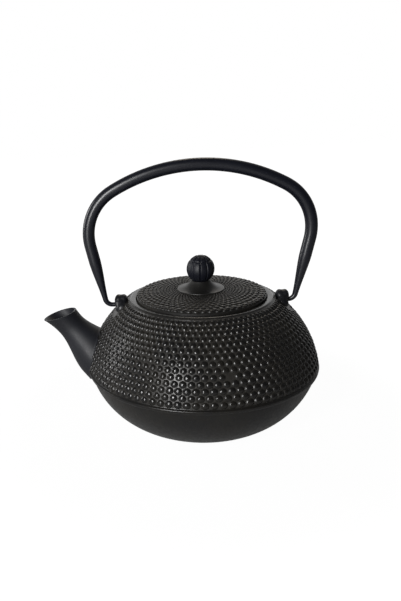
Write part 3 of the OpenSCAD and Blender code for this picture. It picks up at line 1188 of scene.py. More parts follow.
    def outward(self, point: np.ndarray) -> np.ndarray:
        """Direction straight out of the ground's surface.

        Args:
            point: A point near the surface.

        Returns:
            The direction, of unit length.
        """
        shifts = np.concatenate([np.eye(3), -np.eye(3)]) * FINE
        d = self.distance(point + shifts)
        slope = (d[:3] - d[3:]) / (2 * FINE)
        return slope / np.linalg.norm(slope)


@dataclass(frozen=True)
class Spout:
    """The spout: a leaning tube with a sloping mouth that flows into the belly through a fillet."""

    shape: PotShape
    mouth: Pair = (-99.6, 81.7)
    lean: float = math.radians(53)
    slope: float = math.radians(15.6)
    mouth_r: float = 11.0
    throat_r: float = 9.9
    throat_at: float = 10.0
    root_r: float = 18.5
    root_at: float = 42.0
    wall: float = 2.2
    lip_wall: float = 1.2
    sag: float = 2.4
    fillet: float = 1.8
    lip: float = 0.4
    sunk: float = 0.9
    sides: int = 112

    @property
    def way(self) -> np.ndarray:
        """Direction of the axis, from the mouth into the pot."""
        return np.array([math.cos(self.lean), 0.0, -math.sin(self.lean)])

    @property
    def over(self) -> np.ndarray:
        """Direction across the axis, towards the top of the spout."""
        return np.array([math.sin(self.lean), 0.0, math.cos(self.lean)])

    def radius(self, s: float, psi: float = 0.0) -> float:
        """Radius of the outside.

        Args:
            s: Distance from the mouth along the axis.
            psi: Angle round the axis, from the top.

        Returns:
            The radius, a little less under the root.
        """
        if s < self.throat_at:
            return self.throat_r + (self.mouth_r - self.throat_r) * (1 - s / self.throat_at) ** 2
        swell = float(ease((s - self.throat_at) / (self.root_at - self.throat_at)))
        return self.throat_r + (self.root_r - self.throat_r - self.sag * max(0.0, -math.cos(psi))) * swell

    def spoke(self, psi: float) -> np.ndarray:
        """Direction straight away from the axis, at an angle from its top."""
        return math.cos(psi) * self.over + math.sin(psi) * ACROSS

    def thick(self, s: float) -> float:
        """Thickness of the wall, thinner at the lip."""
        return self.lip_wall + (self.wall - self.lip_wall) * float(ease(s / self.throat_at))

    def point(self, psi: float, s: float, inset: float = 0.0) -> np.ndarray:
        """A point of the outside, or of a surface inside it.

        Args:
            psi: Angle round the axis, from the top.
            s: Distance from the mouth along the axis.
            inset: Distance inside the outside.

        Returns:
            The point.
        """
        origin = np.array([self.mouth[0], 0.0, self.mouth[1]])
        return origin + self.way * s + self.spoke(psi) * (self.radius(s, psi) - inset)

    def normal(self, psi: float, s: float) -> np.ndarray:
        """Direction straight out of the spout's outside.

        Args:
            psi: Angle round the axis, from the top.
            s: Distance from the mouth along the axis.

        Returns:
            The direction, of unit length.
        """
        rise = (self.radius(s + FINE, psi) - self.radius(s - FINE, psi)) / (2 * FINE)
        out = self.spoke(psi) - self.way * rise
        return out / np.linalg.norm(out)

    def start(self, psi: float, inset: float) -> float:
        """Where the sloping mouth cuts a line of the spout.

        Args:
            psi: Angle of the line round the axis, from the top.
            inset: How far it lies inside the outside.

        Returns:
            The distance along the axis.
        """
        above = np.array([-math.sin(self.slope), 0.0, math.cos(self.slope)])
        over, way = float(self.over @ above), float(self.way @ above)
        s = 0.0
        for _ in range(12):
            s = -(self.radius(s, psi) - inset) * math.cos(psi) * over / way
        return s

    def reach(self, test: Callable[[float], float]) -> float:
        """First place along the axis where a test turns negative.

        Args:
            test: What is tested, as a function of the distance along the axis.

        Returns:
            The distance along the axis.
        """
        step, low = 0.5, 2.0
        while test(low + step) > 0 and low < self.root_at + 6:
            low += step
        high = low + step
        for _ in range(18):
            middle = (low + high) / 2
            low, high = (middle, high) if test(middle) > 0 else (low, middle)
        return low

    def line(self, psi: float) -> list[np.ndarray]:
        """One closed section: inside, lip, outside and fillet.

        Args:
            psi: The section's angle round the axis, from the top.

        Returns:
            Its points, from the inner end to the fillet's foot.
        """
        shape, q, lip = self.shape, self.fillet, self.lip

        def clear(s: float) -> float:
            """How far the fillet's ball is from touching the pot."""
            return float(shape.distance((self.point(psi, s) + q * self.normal(psi, s))[None])[0]) - q

        def deep(s: float) -> float:
            """How far the inner wall still is from the middle of the pot's wall."""
            return float(shape.distance(self.point(psi, s, self.wall)[None])[0]) + self.sunk

        touch, inner_end = self.reach(clear), self.reach(deep)
        inner, outer = self.start(psi, self.lip_wall), self.start(psi, 0.0)
        places = np.linspace(inner_end, inner + lip, 26)
        section = [self.point(psi, s, self.thick(s - inner)) for s in places]
        edge_in, edge_out = self.point(psi, inner, self.lip_wall), self.point(psi, outer)
        flat = (edge_out - edge_in) / np.linalg.norm(edge_out - edge_in)
        aside, down = flat * lip * 0.12, self.way * lip * 0.2
        section += [edge_in + aside + down, edge_in + flat * lip]
        section += [edge_out - flat * lip, edge_out - aside + down]
        section += [self.point(psi, s) for s in np.linspace(outer + lip, touch, 40)]
        centre = self.point(psi, touch) + q * self.normal(psi, touch)
        a, b = -self.normal(psi, touch), -shape.outward(centre)
        bend = math.acos(float(np.clip(a @ b, -1, 1)))
        for t in np.linspace(0, 1, 10)[1:]:
            way = math.sin((1 - t) * bend) * a + math.sin(t * bend) * b
            section.append(centre + q * way / math.sin(bend))
        section.append(section[-1] + b * 0.5)
        return section

    def casting(self) -> bpy.types.Object:
        """The spout's own mesh, closed inside the pot's wall.

        Returns:
            The piece.
        """
        rings = np.array([self.line(psi) for psi in turns(self.sides)]).transpose(1, 0, 2)
        points, faces = rings.reshape(-1, 3), tube_faces(len(rings), self.sides, loop=True)
        piece = new_piece("pot_spout", points, faces, SPOUT_IRON, 50.0)
        # Painted glint: the top half millimetre of the lip takes the finish's pale colour.
        height = points[:, 2]
        store(piece.data, "net", ease(1 - (height.max() - height) / 0.5))
        return piece

    def solid(self, name: str, inset: float) -> bpy.types.Object:
        """The spout without its mouth, as one closed solid with a round end.

        Args:
            name: The solid's name.
            inset: How far it lies inside the spout's outside.

        Returns:
            The solid.
        """
        angles = turns(72)
        rings = [[self.point(psi, s, inset) for psi in angles] for s in np.linspace(14.0, self.root_at, 20)]
        middle = np.array([self.mouth[0], 0.0, self.mouth[1]]) + self.way * self.root_at
        for turn in np.linspace(0.2, 1.45, 6):
            deep = self.way * (self.root_r - inset) * math.sin(turn)
            reach = [(self.radius(self.root_at, psi) - inset) * math.cos(turn) for psi in angles]
            rings.append([middle + self.spoke(psi) * r + deep for psi, r in zip(angles, reach)])
        points, faces = capped(np.array(rings))
        return new_piece(name, points, faces, INSIDE)


@dataclass(frozen=True)
class Ear:
    """A lumpy cast ear with a blind hole for the bail.

    It is melted from lumps, and no hobnail stands in the block around it, whose half sizes are clear.
    """

    side: int
    x: float = 55.8
    z: float = 87.5
    thick: float = 9.6
    lobe_r: float = 4.6
    lobe_up: float = 2.7
    side_r: float = 4.0
    side_out: float = 4.8
    hole_r: float = 2.0
    hole_from: float = 53.4
    voxel: float = 0.32
    soften: float = 0.6
    passes: int = 24
    clear: Triple = (9.5, 13.0, 9.0)

    def lumps(self) -> list[tuple[Triple, Triple]]:
        """The rounded lumps that melt into the ear.

        Returns:
            Centre and half sizes of each.
        """
        half, top = self.thick / 2, self.z + self.lobe_up
        lobe = (half * 0.62, self.lobe_r, self.lobe_r)
        made = [((self.x + share * half * 0.38, 0, top), lobe) for share in (-1, 1)]
        made.append(((self.x, 0, top - 0.15), (half * 0.7, self.lobe_r * 0.97, self.lobe_r * 0.97)))
        made.append(((self.x, 0, self.z + 0.4), (half * 0.97, self.side_out + 2.2, 5.2)))
        for across in (-1, 1):
            centre = (self.x - 0.6, across * self.side_out, self.z - 1.6)
            made.append((centre, (half * 0.95, self.side_r, 4.4)))
        made.append(((self.x - 1.6, 0, self.z - 3.6), (half * 1.05, self.side_out + 5.2, 4.6)))
        return made

    def guard(self) -> bpy.types.Object:
        """A rounded block that no hobnail stands in.

        Returns:
            The block, outside the scene.
        """
        edit = bmesh.new()
        made = bmesh.ops.create_uvsphere(edit, u_segments=24, v_segments=16, radius=1.0)
        middle = Vector((self.side * self.x, 0, self.z - 3.0)) * MM
        for v in made["verts"]:
            v.co = Vector([p * h * MM for p, h in zip(v.co, self.clear)]) + middle
        return bpy.data.objects.new("ear_guard", poured("ear_guard", edit))

    def build(self) -> bpy.types.Object:
        """Melt the lumps into one casting and drill its hole.

        Returns:
            The ear.
        """
        edit = bmesh.new()
        for (x, y, z), half in self.lumps():
            centre = (self.side * x, y, z)
            for v in bmesh.ops.create_icosphere(edit, subdivisions=4, radius=1.0)["verts"]:
                v.co = Vector([(c + h * p) * MM for c, h, p in zip(centre, half, v.co)])
        name = "ear_near_spout" if self.side < 0 else "ear_far_side"
        piece = add_object(name, poured(name, edit))
        melt = piece.modifiers.new("melt", "REMESH")
        melt.mode = "VOXEL"
        melt.voxel_size = self.voxel * MM
        soften = piece.modifiers.new("soften", "SMOOTH")
        soften.factor = self.soften
        soften.iterations = self.passes
        bake(piece)
        cut(piece, self.hole())
        piece.data.materials.clear()
        piece.data.materials.append(EAR_IRON.material())
        face_out(piece.data)
        smooth(piece.data, 40.0)
        return piece

    def hole(self) -> bpy.types.Object:
        """The drilled hole, along X.

        Returns:
            A round bar to cut it with.
        """
        bar = [(self.hole_r * math.cos(a), self.z + self.hole_r * math.sin(a)) for a in turns(32)]
        ends = [self.side * self.hole_from, self.side * (self.x + self.thick)]
        points, faces = capped(np.array([[(x, y, z) for y, z in bar] for x in ends]))
        return new_piece("hole", points, faces, EAR_IRON)


@dataclass
class Pot:
    """The pot's casting: body, spout, ears and hobnails."""

    shape: PotShape = field(default_factory=PotShape)
    rows: int = 14
    first_row: float = 3.3
    last_row: float = 56.4
    crowding: float = 0.07
    per_ring: int = 91
    phase: float = math.radians(-112.9)
    missing: tuple[int, int] = (9, 8)
    fill: float = 0.95

    def build(self) -> list[bpy.types.Object]:
        """Build and dress the whole casting.

        Returns:
            Its pieces.
        """
        spout = Spout(self.shape)
        body = self.body(spout)
        tube = spout.casting()
        moulds = [Ear(side) for side in (-1, 1)]
        ears = [mould.build() for mould in moulds]
        nails = self.hobnails([spout.solid("spout_guard", 0.0), *(mould.guard() for mould in moulds)])
        seat(body, Body.POT, IRON, "pot_body")
        for piece in (tube, *ears, nails):
            seat(piece, Body.POT, IRON)
        return [body, tube, *ears, nails]

    def body(self, spout: Spout) -> bpy.types.Object:
        """The round body, with the spout's channel cut through its wall.

        Args:
            spout: The spout.

        Returns:
            The piece.
        """
        shape = self.shape
        profile = np.concatenate([shape.outside(), shape.inside()])
        piece = turned("pot_casting", profile, IRON, sides=224, crease=30.0)
        cut(piece, spout.solid("channel", spout.wall))
        mesh = piece.data
        mesh.materials.clear()
        for finish in (IRON, INSIDE):
            mesh.materials.append(finish.material())
        x, y, z = read(mesh.polygons, "center")
        inner = self.is_inside(np.hypot(x, y), z)
        mesh.polygons.foreach_set("material_index", inner.astype(np.int32))
        x, y, z = read(mesh.vertices, "co")
        radius = np.hypot(x, y)
        rubbed = (z > shape.pot_h - 0.35) & (radius > shape.bore_r - 0.3)
        store(mesh, "net", self.net(radius, z))
        store(mesh, "tip", np.where(rubbed, 1.0, 0.0))
        smooth(mesh, 30.0)
        return piece

    def is_inside(self, radius: np.ndarray, height: np.ndarray) -> np.ndarray:
        """Which places belong to the enamelled inside.

        Args:
            radius: Each place's distance from the pot's axis.
            height: Each place's height.

        Returns:
            Whether each does.
        """
        shape = self.shape
        points = np.stack([radius, np.zeros_like(radius), height], -1)
        above_foot = height > 1.5
        deep = (shape.distance(points) < -0.8) & above_foot & (height < shape.seat_z)
        return deep | ((radius < shape.bore_r - 0.2) & above_foot)

    def net(self, radius: np.ndarray, height: np.ndarray) -> np.ndarray:
        """How much each place belongs to the net between the hobnails.

        Args:
            radius: Each place's distance from the pot's axis.
            height: Each place's height.

        Returns:
            Nought outside the net, and one in it.
        """
        arc = self.shape.shoulder
        out, up = radius - arc.centre[0], height - arc.centre[1]
        share = (np.arctan2(up, out) - arc.start) / (arc.end - arc.start)
        near = np.abs(arc.radius - np.hypot(up, out)) < 1.6
        return np.where(near, ease((share - 0.015) / 0.03) * ease((0.965 - share) / 0.04), 0.0)

    def hobnails(self, guards: Sequence[bpy.types.Object]) -> bpy.types.Object:
        """The rings of hobnails on the shoulder, from the rim down.

        Args:
            guards: Closed shapes that hold no hobnail, which are removed.

        Returns:
            The piece.
        """
        arc = self.shape.shoulder
        t = np.linspace(0, 1, self.rows)
        t = t - self.crowding * t * (1 - t)
        share = 1 - (self.first_row + (self.last_row - self.first_row) * t) / arc.length
        rise = self.shape.ground(share)
        lean = arc.start + (arc.end - arc.start) * share
        along = np.abs(np.gradient(share * -arc.length)) / math.sqrt(3)
        ring, place = self.missing
        nails = Hobnails(
            "pot_hobnails", self.per_ring, self.phase, IRON, blank_ring=ring, blank_place=place
        )
        guard = joined("guard", guards)
        made = nails.build(nails.rows(arc.points(share, rise), lean, along, rise), guard, self.fill)
        for used in (guard, *guards):
            bpy.data.objects.remove(used)
        return made


def joined(name: str, pieces: Sequence[bpy.types.Object]) -> bpy.types.Object:
    """A copy of several pieces as one object.

    Args:
        name: The object's name.
        pieces: The pieces to copy.

    Returns:
        The object.
    """
    edit = bmesh.new()
    for piece in pieces:
        edit.from_mesh(piece.data)
    return add_object(name, poured(name, edit))


# ---- Bail ----


@dataclass(frozen=True)
class Bail:
    """The swinging bail: a round bar, tapered and bent into two hooks that end in straight pins."""

    pivot_z: float = 87.5
    rise: float = 92.6
    grip_r: float = 4.1
    arch_r: float = 117.5
    arch_deg: float = 29.0
    corner_r: float = 33.6
    leg_lean: float = 11.5
    taper: float = 27.0
    hook_from: float = 1.9
    hook_to: float = 1.55
    hook_r: float = 5.0
    pin_r: float = 1.6
    pin_len: float = 5.4
    shift: float = -1.1
    sides: int = 44

    def half(self) -> list[tuple[float, float, float, float]]:
        """Right half of the centre line, from the top down.

        Returns:
            X, Z, heading in degrees and the bar's radius at each point.
        """
        lean, steep = math.radians(self.leg_lean), 90 - self.arch_deg
        arch = np.array([0.0, self.pivot_z + self.rise - self.arch_r])
        corner = arch + (self.arch_r - self.corner_r) * self.spoke(steep)
        leg_top = corner + self.corner_r * self.spoke(-self.leg_lean)
        down = -np.array([math.sin(lean), math.cos(lean)])
        hook_z = self.pivot_z + self.hook_r * (1 - math.sin(lean))
        leg_end = leg_top + down * (leg_top[1] - hook_z) / math.cos(lean)
        taper_top = leg_end - down * self.taper
        hook = leg_end - self.hook_r * self.spoke(-self.leg_lean)
        line: list[tuple[float, float, float, float]] = []

        def bend(centre: np.ndarray, radius: float, start: float, end: float, steps: int, bar: Pair) -> None:
            """Add an arc.

            Args:
                centre: Its centre.
                radius: Its radius.
                start: Its first angle in degrees.
                end: Its last angle in degrees.
                steps: How many steps it has.
                bar: The bar's radius at its two ends.
            """
            for t in np.linspace(0, 1, steps + 1):
                angle = start + (end - start) * t
                x, z = centre + radius * self.spoke(angle)
                line.append((x, z, angle - 90, bar[0] + (bar[1] - bar[0]) * t))

        bend(arch, self.arch_r, 90, steep, 24, (self.grip_r, self.grip_r))
        bend(corner, self.corner_r, steep - 2, -self.leg_lean, 40, (self.grip_r, self.grip_r))
        legs = ((leg_top, taper_top, 7, self.grip_r), (taper_top, leg_end, 26, self.hook_from))
        for top, foot, steps, foot_r in legs:
            for t in np.linspace(0, 1, steps)[1:]:
                x, z = top + (foot - top) * t
                bar = self.grip_r + (foot_r - self.grip_r) * self.thinning(t)
                line.append((x, z, -90 - self.leg_lean, bar))
        bend(hook, self.hook_r, -self.leg_lean - 4, -90, 18, (self.hook_from, self.hook_to))
        pin = ((1.0, 0.0), (self.pin_len - 0.5, 0.0), (self.pin_len - 0.15, 0.2), (self.pin_len, 0.5))
        line += [(hook[0] - x, self.pivot_z, -180, self.pin_r - less) for x, less in pin]
        return line

    @staticmethod
    def thinning(t: float) -> float:
        """How far the taper has gone, slow at its start."""
        return 0.5 * t + 0.5 * float(ease(t))

    @staticmethod
    def spoke(degrees: float) -> np.ndarray:
        """A unit vector at an angle."""
        return np.array([math.cos(math.radians(degrees)), math.sin(math.radians(degrees))])

    def build(self) -> list[bpy.types.Object]:
        """Sweep the bar along its line.

        Returns:
            The bail's pieces.
        """
        half = self.half()
        line = [(-x, z, -h, r) for x, z, h, r in half[:0:-1]] + half
        angles = turns(self.sides)
        rings = []
        for x, z, heading, r in line:
            h = math.radians(heading)
            out = r * np.cos(angles)
            ring = [self.shift + x - out * math.sin(h), r * np.sin(angles), z + out * math.cos(h)]
            rings.append(np.stack(ring, -1))
        points, faces = capped(np.array(rings))
        piece = new_piece("bail_bar", points, faces, BAIL_PAINT, 60.0)
        seat(piece, Body.BAIL, BAIL_PAINT, "bail_handle")
        return [piece]


# ---- Lid and knob ----


@dataclass(frozen=True)
class Lid:
    """The lid's casting with its hobnails."""

    edge_r: float = 44.9
    seat_z: float = 89.7
    edge_z: float = 95.5
    rounding: float = 2.2
    pad_z: float = 97.1
    pad_r: float = 16.3
    bulge: float = 0.5
    under_z: float = 93.9
    skirt_r: float = 36.95
    skirt_t: float = 2.4
    skirt_z: float = 82.1
    bore_r: float = 2.52
    nail: float = 0.85
    rows: int = 11
    first_r: float = 41.9
    ratio: float = 0.917
    edge_row: float = 0.52
    edge_pitch: float = 2.2
    per_ring: int = 58
    phase: float = 0.05
    fill: float = 0.95

    @property
    def top(self) -> Arc:
        """The arc over the hobnails' tips, from the edge to the middle."""
        return Arc.between((self.edge_r - self.rounding, self.edge_z), (self.pad_r, self.pad_z), self.bulge)

    def share(self, radius: np.ndarray) -> np.ndarray:
        """Place along the top's arc.

        Args:
            radius: Distances from the lid's axis.

        Returns:
            Share of the way along the arc at each.
        """
        arc = self.top
        angle = np.arccos((np.asarray(radius) - arc.centre[0]) / arc.radius)
        return (angle - arc.start) / (arc.end - arc.start)

    def rise(self, radius: np.ndarray) -> np.ndarray:
        """Height of the hobnails at each radius."""
        return self.nail * (0.45 + 0.55 * np.asarray(radius) / self.first_r)

    def ground(self, radius: np.ndarray) -> np.ndarray:
        """How far the ground lies under the top's arc at each radius."""
        radius = np.asarray(radius)
        return self.rise(radius) * ease((radius - self.pad_r + 0.1) / 0.9)

    def corner(self, share: np.ndarray) -> np.ndarray:
        """The rounded edge, with the ground under its hobnails.

        Args:
            share: Shares of the way from its foot to the top.

        Returns:
            Radius and height of each point.
        """
        centre = (self.edge_r - self.rounding, self.edge_z - self.rounding)
        sunk = self.rise(self.edge_r) * ease(np.asarray(share) / 0.3)
        return Arc(centre, self.rounding, 0.0, math.pi / 2).points(share, sunk)

    def build(self) -> list[bpy.types.Object]:
        """Build the casting and its hobnails.

        Returns:
            The pieces.
        """
        casting, nails = self.casting(), self.hobnails()
        seat(casting, Body.LID, LID_IRON, "lid")
        seat(nails, Body.LID, LID_IRON)
        return [casting, nails]

    def casting(self) -> bpy.types.Object:
        """The lid's plate, edge and skirt.

        Returns:
            The piece.
        """
        plate = np.linspace(self.edge_r - self.rounding, self.pad_r + 1.7, 34)
        radii = np.concatenate([plate, np.linspace(self.pad_r + 1.3, self.pad_r, 7)])
        top = self.top.points(self.share(radii), self.ground(radii))
        corner = self.corner(np.linspace(0, 1, 10)[:-1])
        inner, outer, low, high = self.skirt_r - self.skirt_t, self.skirt_r, self.skirt_z, self.under_z
        below = [
            (self.bore_r, self.pad_z), (self.bore_r, high), (inner - 1.0, high), (inner - 0.3, high - 0.3),
            (inner, high - 1.0), (inner, low + 0.5), (inner + 0.5, low), (outer - 0.5, low),
            (outer, low + 0.5), (outer, self.seat_z), (self.edge_r - 0.4, self.seat_z),
            (self.edge_r, self.seat_z + 0.4),
        ]
        profile = np.concatenate([corner, top, below])
        piece = turned("lid_casting", profile, LID_IRON, sides=192, crease=32.0)
        mesh = piece.data
        mesh.materials.append(LID_INSIDE.material())
        x, y, z = read(mesh.polygons, "center")
        under = (z < self.under_z + 0.1) & (np.hypot(x, y) < self.edge_r - 0.2)
        mesh.polygons.foreach_set("material_index", under.astype(np.int32))
        x, y, z = read(mesh.vertices, "co")
        net = ease((np.hypot(x, y) - self.pad_r - 0.7) / 0.8)
        store(mesh, "net", np.where(z > self.edge_z - 1.9, net, 0.0))
        return piece

    def hobnails(self) -> bpy.types.Object:
        """The rings of hobnails on the lid, from the edge inwards.

        Returns:
            The piece.
        """
        radius = self.first_r * self.ratio ** np.arange(self.rows)
        arc, share = self.top, self.share(radius)
        line = np.concatenate([self.corner([self.edge_row]), arc.points(share, self.ground(radius))])
        lean = arc.start + (arc.end - arc.start) * share
        lean = np.concatenate([[self.edge_row * math.pi / 2], lean])
        pitch = radius * (1 - self.ratio) / math.sqrt(self.ratio)
        pitch = np.concatenate([[self.edge_pitch], pitch])
        rise = self.ground(np.concatenate([[self.edge_r], radius]))
        nails = Hobnails("lid_hobnails", self.per_ring, self.phase, LID_IRON, keep_clear=-1.0, seed=11)
        rows = nails.rows(line, lean, pitch / math.sqrt(3), rise)
        return nails.build(rows, rows, self.fill)


@dataclass(frozen=True)
class Knob:
    """The knob on its flared collar, with the rivet and washer that hold it.

    The crown lies between two tilts in degrees from the top, and each cut is a share of the knob's radius.
    """

    collar_r: float = 16.3
    collar_z: float = 97.1
    collar_edge: float = 0.6
    collar_top: float = 103.3
    neck_r: float = 6.6
    hollow: float = 1.3
    knob_r: float = 9.6
    knob_z: float = 111.2
    bore_r: float = 2.52
    rivet_r: float = 2.5
    rivet_top: float = 110.3
    washer_r: float = 7.0
    washer_z: float = 92.9
    washer_t: float = 1.0
    head_r: float = 4.4
    head_h: float = 1.8
    ribs: int = 12
    petals: int = 10
    rib_phase: float = math.radians(-94)
    crown_from: float = 16.0
    crown_to: float = 50.0
    rib_cut: float = 0.085
    petal_cut: float = 0.06
    ring_cuts: Pair = (0.045, 0.05)
    bead_cut: float = 0.02

    def build(self) -> list[bpy.types.Object]:
        """Build the collar, knob, rivet and washer.

        Returns:
            The pieces.
        """
        made = [self.collar(), self.bud(), self.rivet(), self.washer()]
        finishes = (COLLAR_IRON, KNOB_PAINT, RIVET_STEEL, RIVET_STEEL)
        nodes = ("knob_collar", "lid_knob", "knob_rivet", "rivet_washer")
        for piece, finish, node in zip(made, finishes, nodes):
            seat(piece, Body.LID, finish, node)
        return made

    def collar(self) -> bpy.types.Object:
        """The flared seat with its crisp upright edge.

        Returns:
            The piece.
        """
        rim, low, high = self.collar_r, self.collar_z, self.collar_z + self.collar_edge
        flank = Arc.between((self.neck_r, self.collar_top), (rim, high), self.hollow)
        slope = Arc(flank.centre, flank.radius, flank.end, flank.start).points(np.linspace(0.02, 1, 26))
        edge = [(self.bore_r, low), (rim - 0.1, low), (rim, low + 0.1)]
        edge += [(rim, high - 0.18), (rim - 0.1, high - 0.02)]
        profile = np.concatenate([edge, slope, [(self.bore_r, self.collar_top)]])
        return turned("knob_seat", profile, COLLAR_IRON, 128, 40.0)

    def swell(self, tilt: float, turn: float) -> float:
        """How the ribs, grooves and crown shape the ball.

        Args:
            tilt: Angle from the top.
            turn: Angle about Z.

        Returns:
            The knob's radius there, as a share of its ball's.
        """
        down = math.degrees(tilt)

        def between(start: float, rise: float, end: float, fall: float) -> float:
            """One between two tilts in degrees, with a smooth rise and fall."""
            return float(ease((down - start) / rise)) * float(ease((end - down) / fall))

        def groove(count: int, width: float) -> float:
            """One in the middle of each of several even grooves, and nought between them."""
            across = (turn - self.rib_phase) * count / TURN
            return math.exp(-((abs(across - round(across)) * 2 / width) ** 2))

        def ring(at: float, width: float) -> float:
            """One at a tilt in degrees, and nought away from it."""
            return math.exp(-(((down - at) / width) ** 2))

        low, high = self.crown_from, self.crown_to
        ribs = self.rib_cut * between(high + 2, 10, 150, 24) * groove(self.ribs, 0.15)
        petals = self.petal_cut * between(low - 2, 5, high, 5) * groove(self.petals, 0.3)
        rings = self.ring_cuts[0] * ring(low, 3.0) + self.ring_cuts[1] * ring(high, 2.6)
        bead = self.bead_cut * float(ease((low - down) / 12))
        return 1.0 - ribs - petals - rings - bead

    def bud(self) -> bpy.types.Object:
        """The ribbed globe with its crown of petals.

        Returns:
            The piece.
        """
        low = math.acos((self.collar_top - self.knob_z) / self.knob_r)
        rings = []
        for tilt in np.linspace(0.02, low, 96):
            ring = []
            for turn in turns(216):
                r = self.knob_r * self.swell(tilt, turn)
                out, up = r * math.sin(tilt), self.knob_z + r * math.cos(tilt)
                ring.append((out * math.cos(turn), out * math.sin(turn), max(up, self.collar_top)))
            rings.append(ring)
        points, faces = capped(np.array(rings))
        return new_piece("knob_bud", points, faces, KNOB_PAINT, 70.0)

    def rivet(self) -> bpy.types.Object:
        """The rivet, with its domed head under the lid.

        Returns:
            The piece.
        """
        head, flat_r = self.washer_z - self.head_h, self.head_r - self.head_h
        turn = np.linspace(0, math.pi / 2, 8)
        dome = np.stack([flat_r + self.head_h * np.sin(turn), self.washer_z - self.head_h * np.cos(turn)], -1)
        line = [
            (0, head), (flat_r - 0.3, head), *dome, (self.rivet_r, self.washer_z),
            (self.rivet_r, self.rivet_top - 0.4), (self.rivet_r - 0.4, self.rivet_top), (0, self.rivet_top),
        ]
        return turned("knob_rivet_pin", np.array(line), RIVET_STEEL, 64, 45.0)

    def washer(self) -> bpy.types.Object:
        """The washer, stamped with slightly rolled edges.

        Returns:
            The piece.
        """
        low, high = self.washer_z, self.washer_z + self.washer_t
        corners = [(self.bore_r, low), (self.washer_r, low), (self.washer_r, high), (self.bore_r, high)]
        return turned("knob_washer", rounded(corners, [0.22] * 4), RIVET_STEEL, 96, 50.0)


# ---- Infuser ----


class Weave(Enum):
    """Which part of the infuser a wire mesh makes."""

    WALL = "wall"
    FLOOR = "floor"


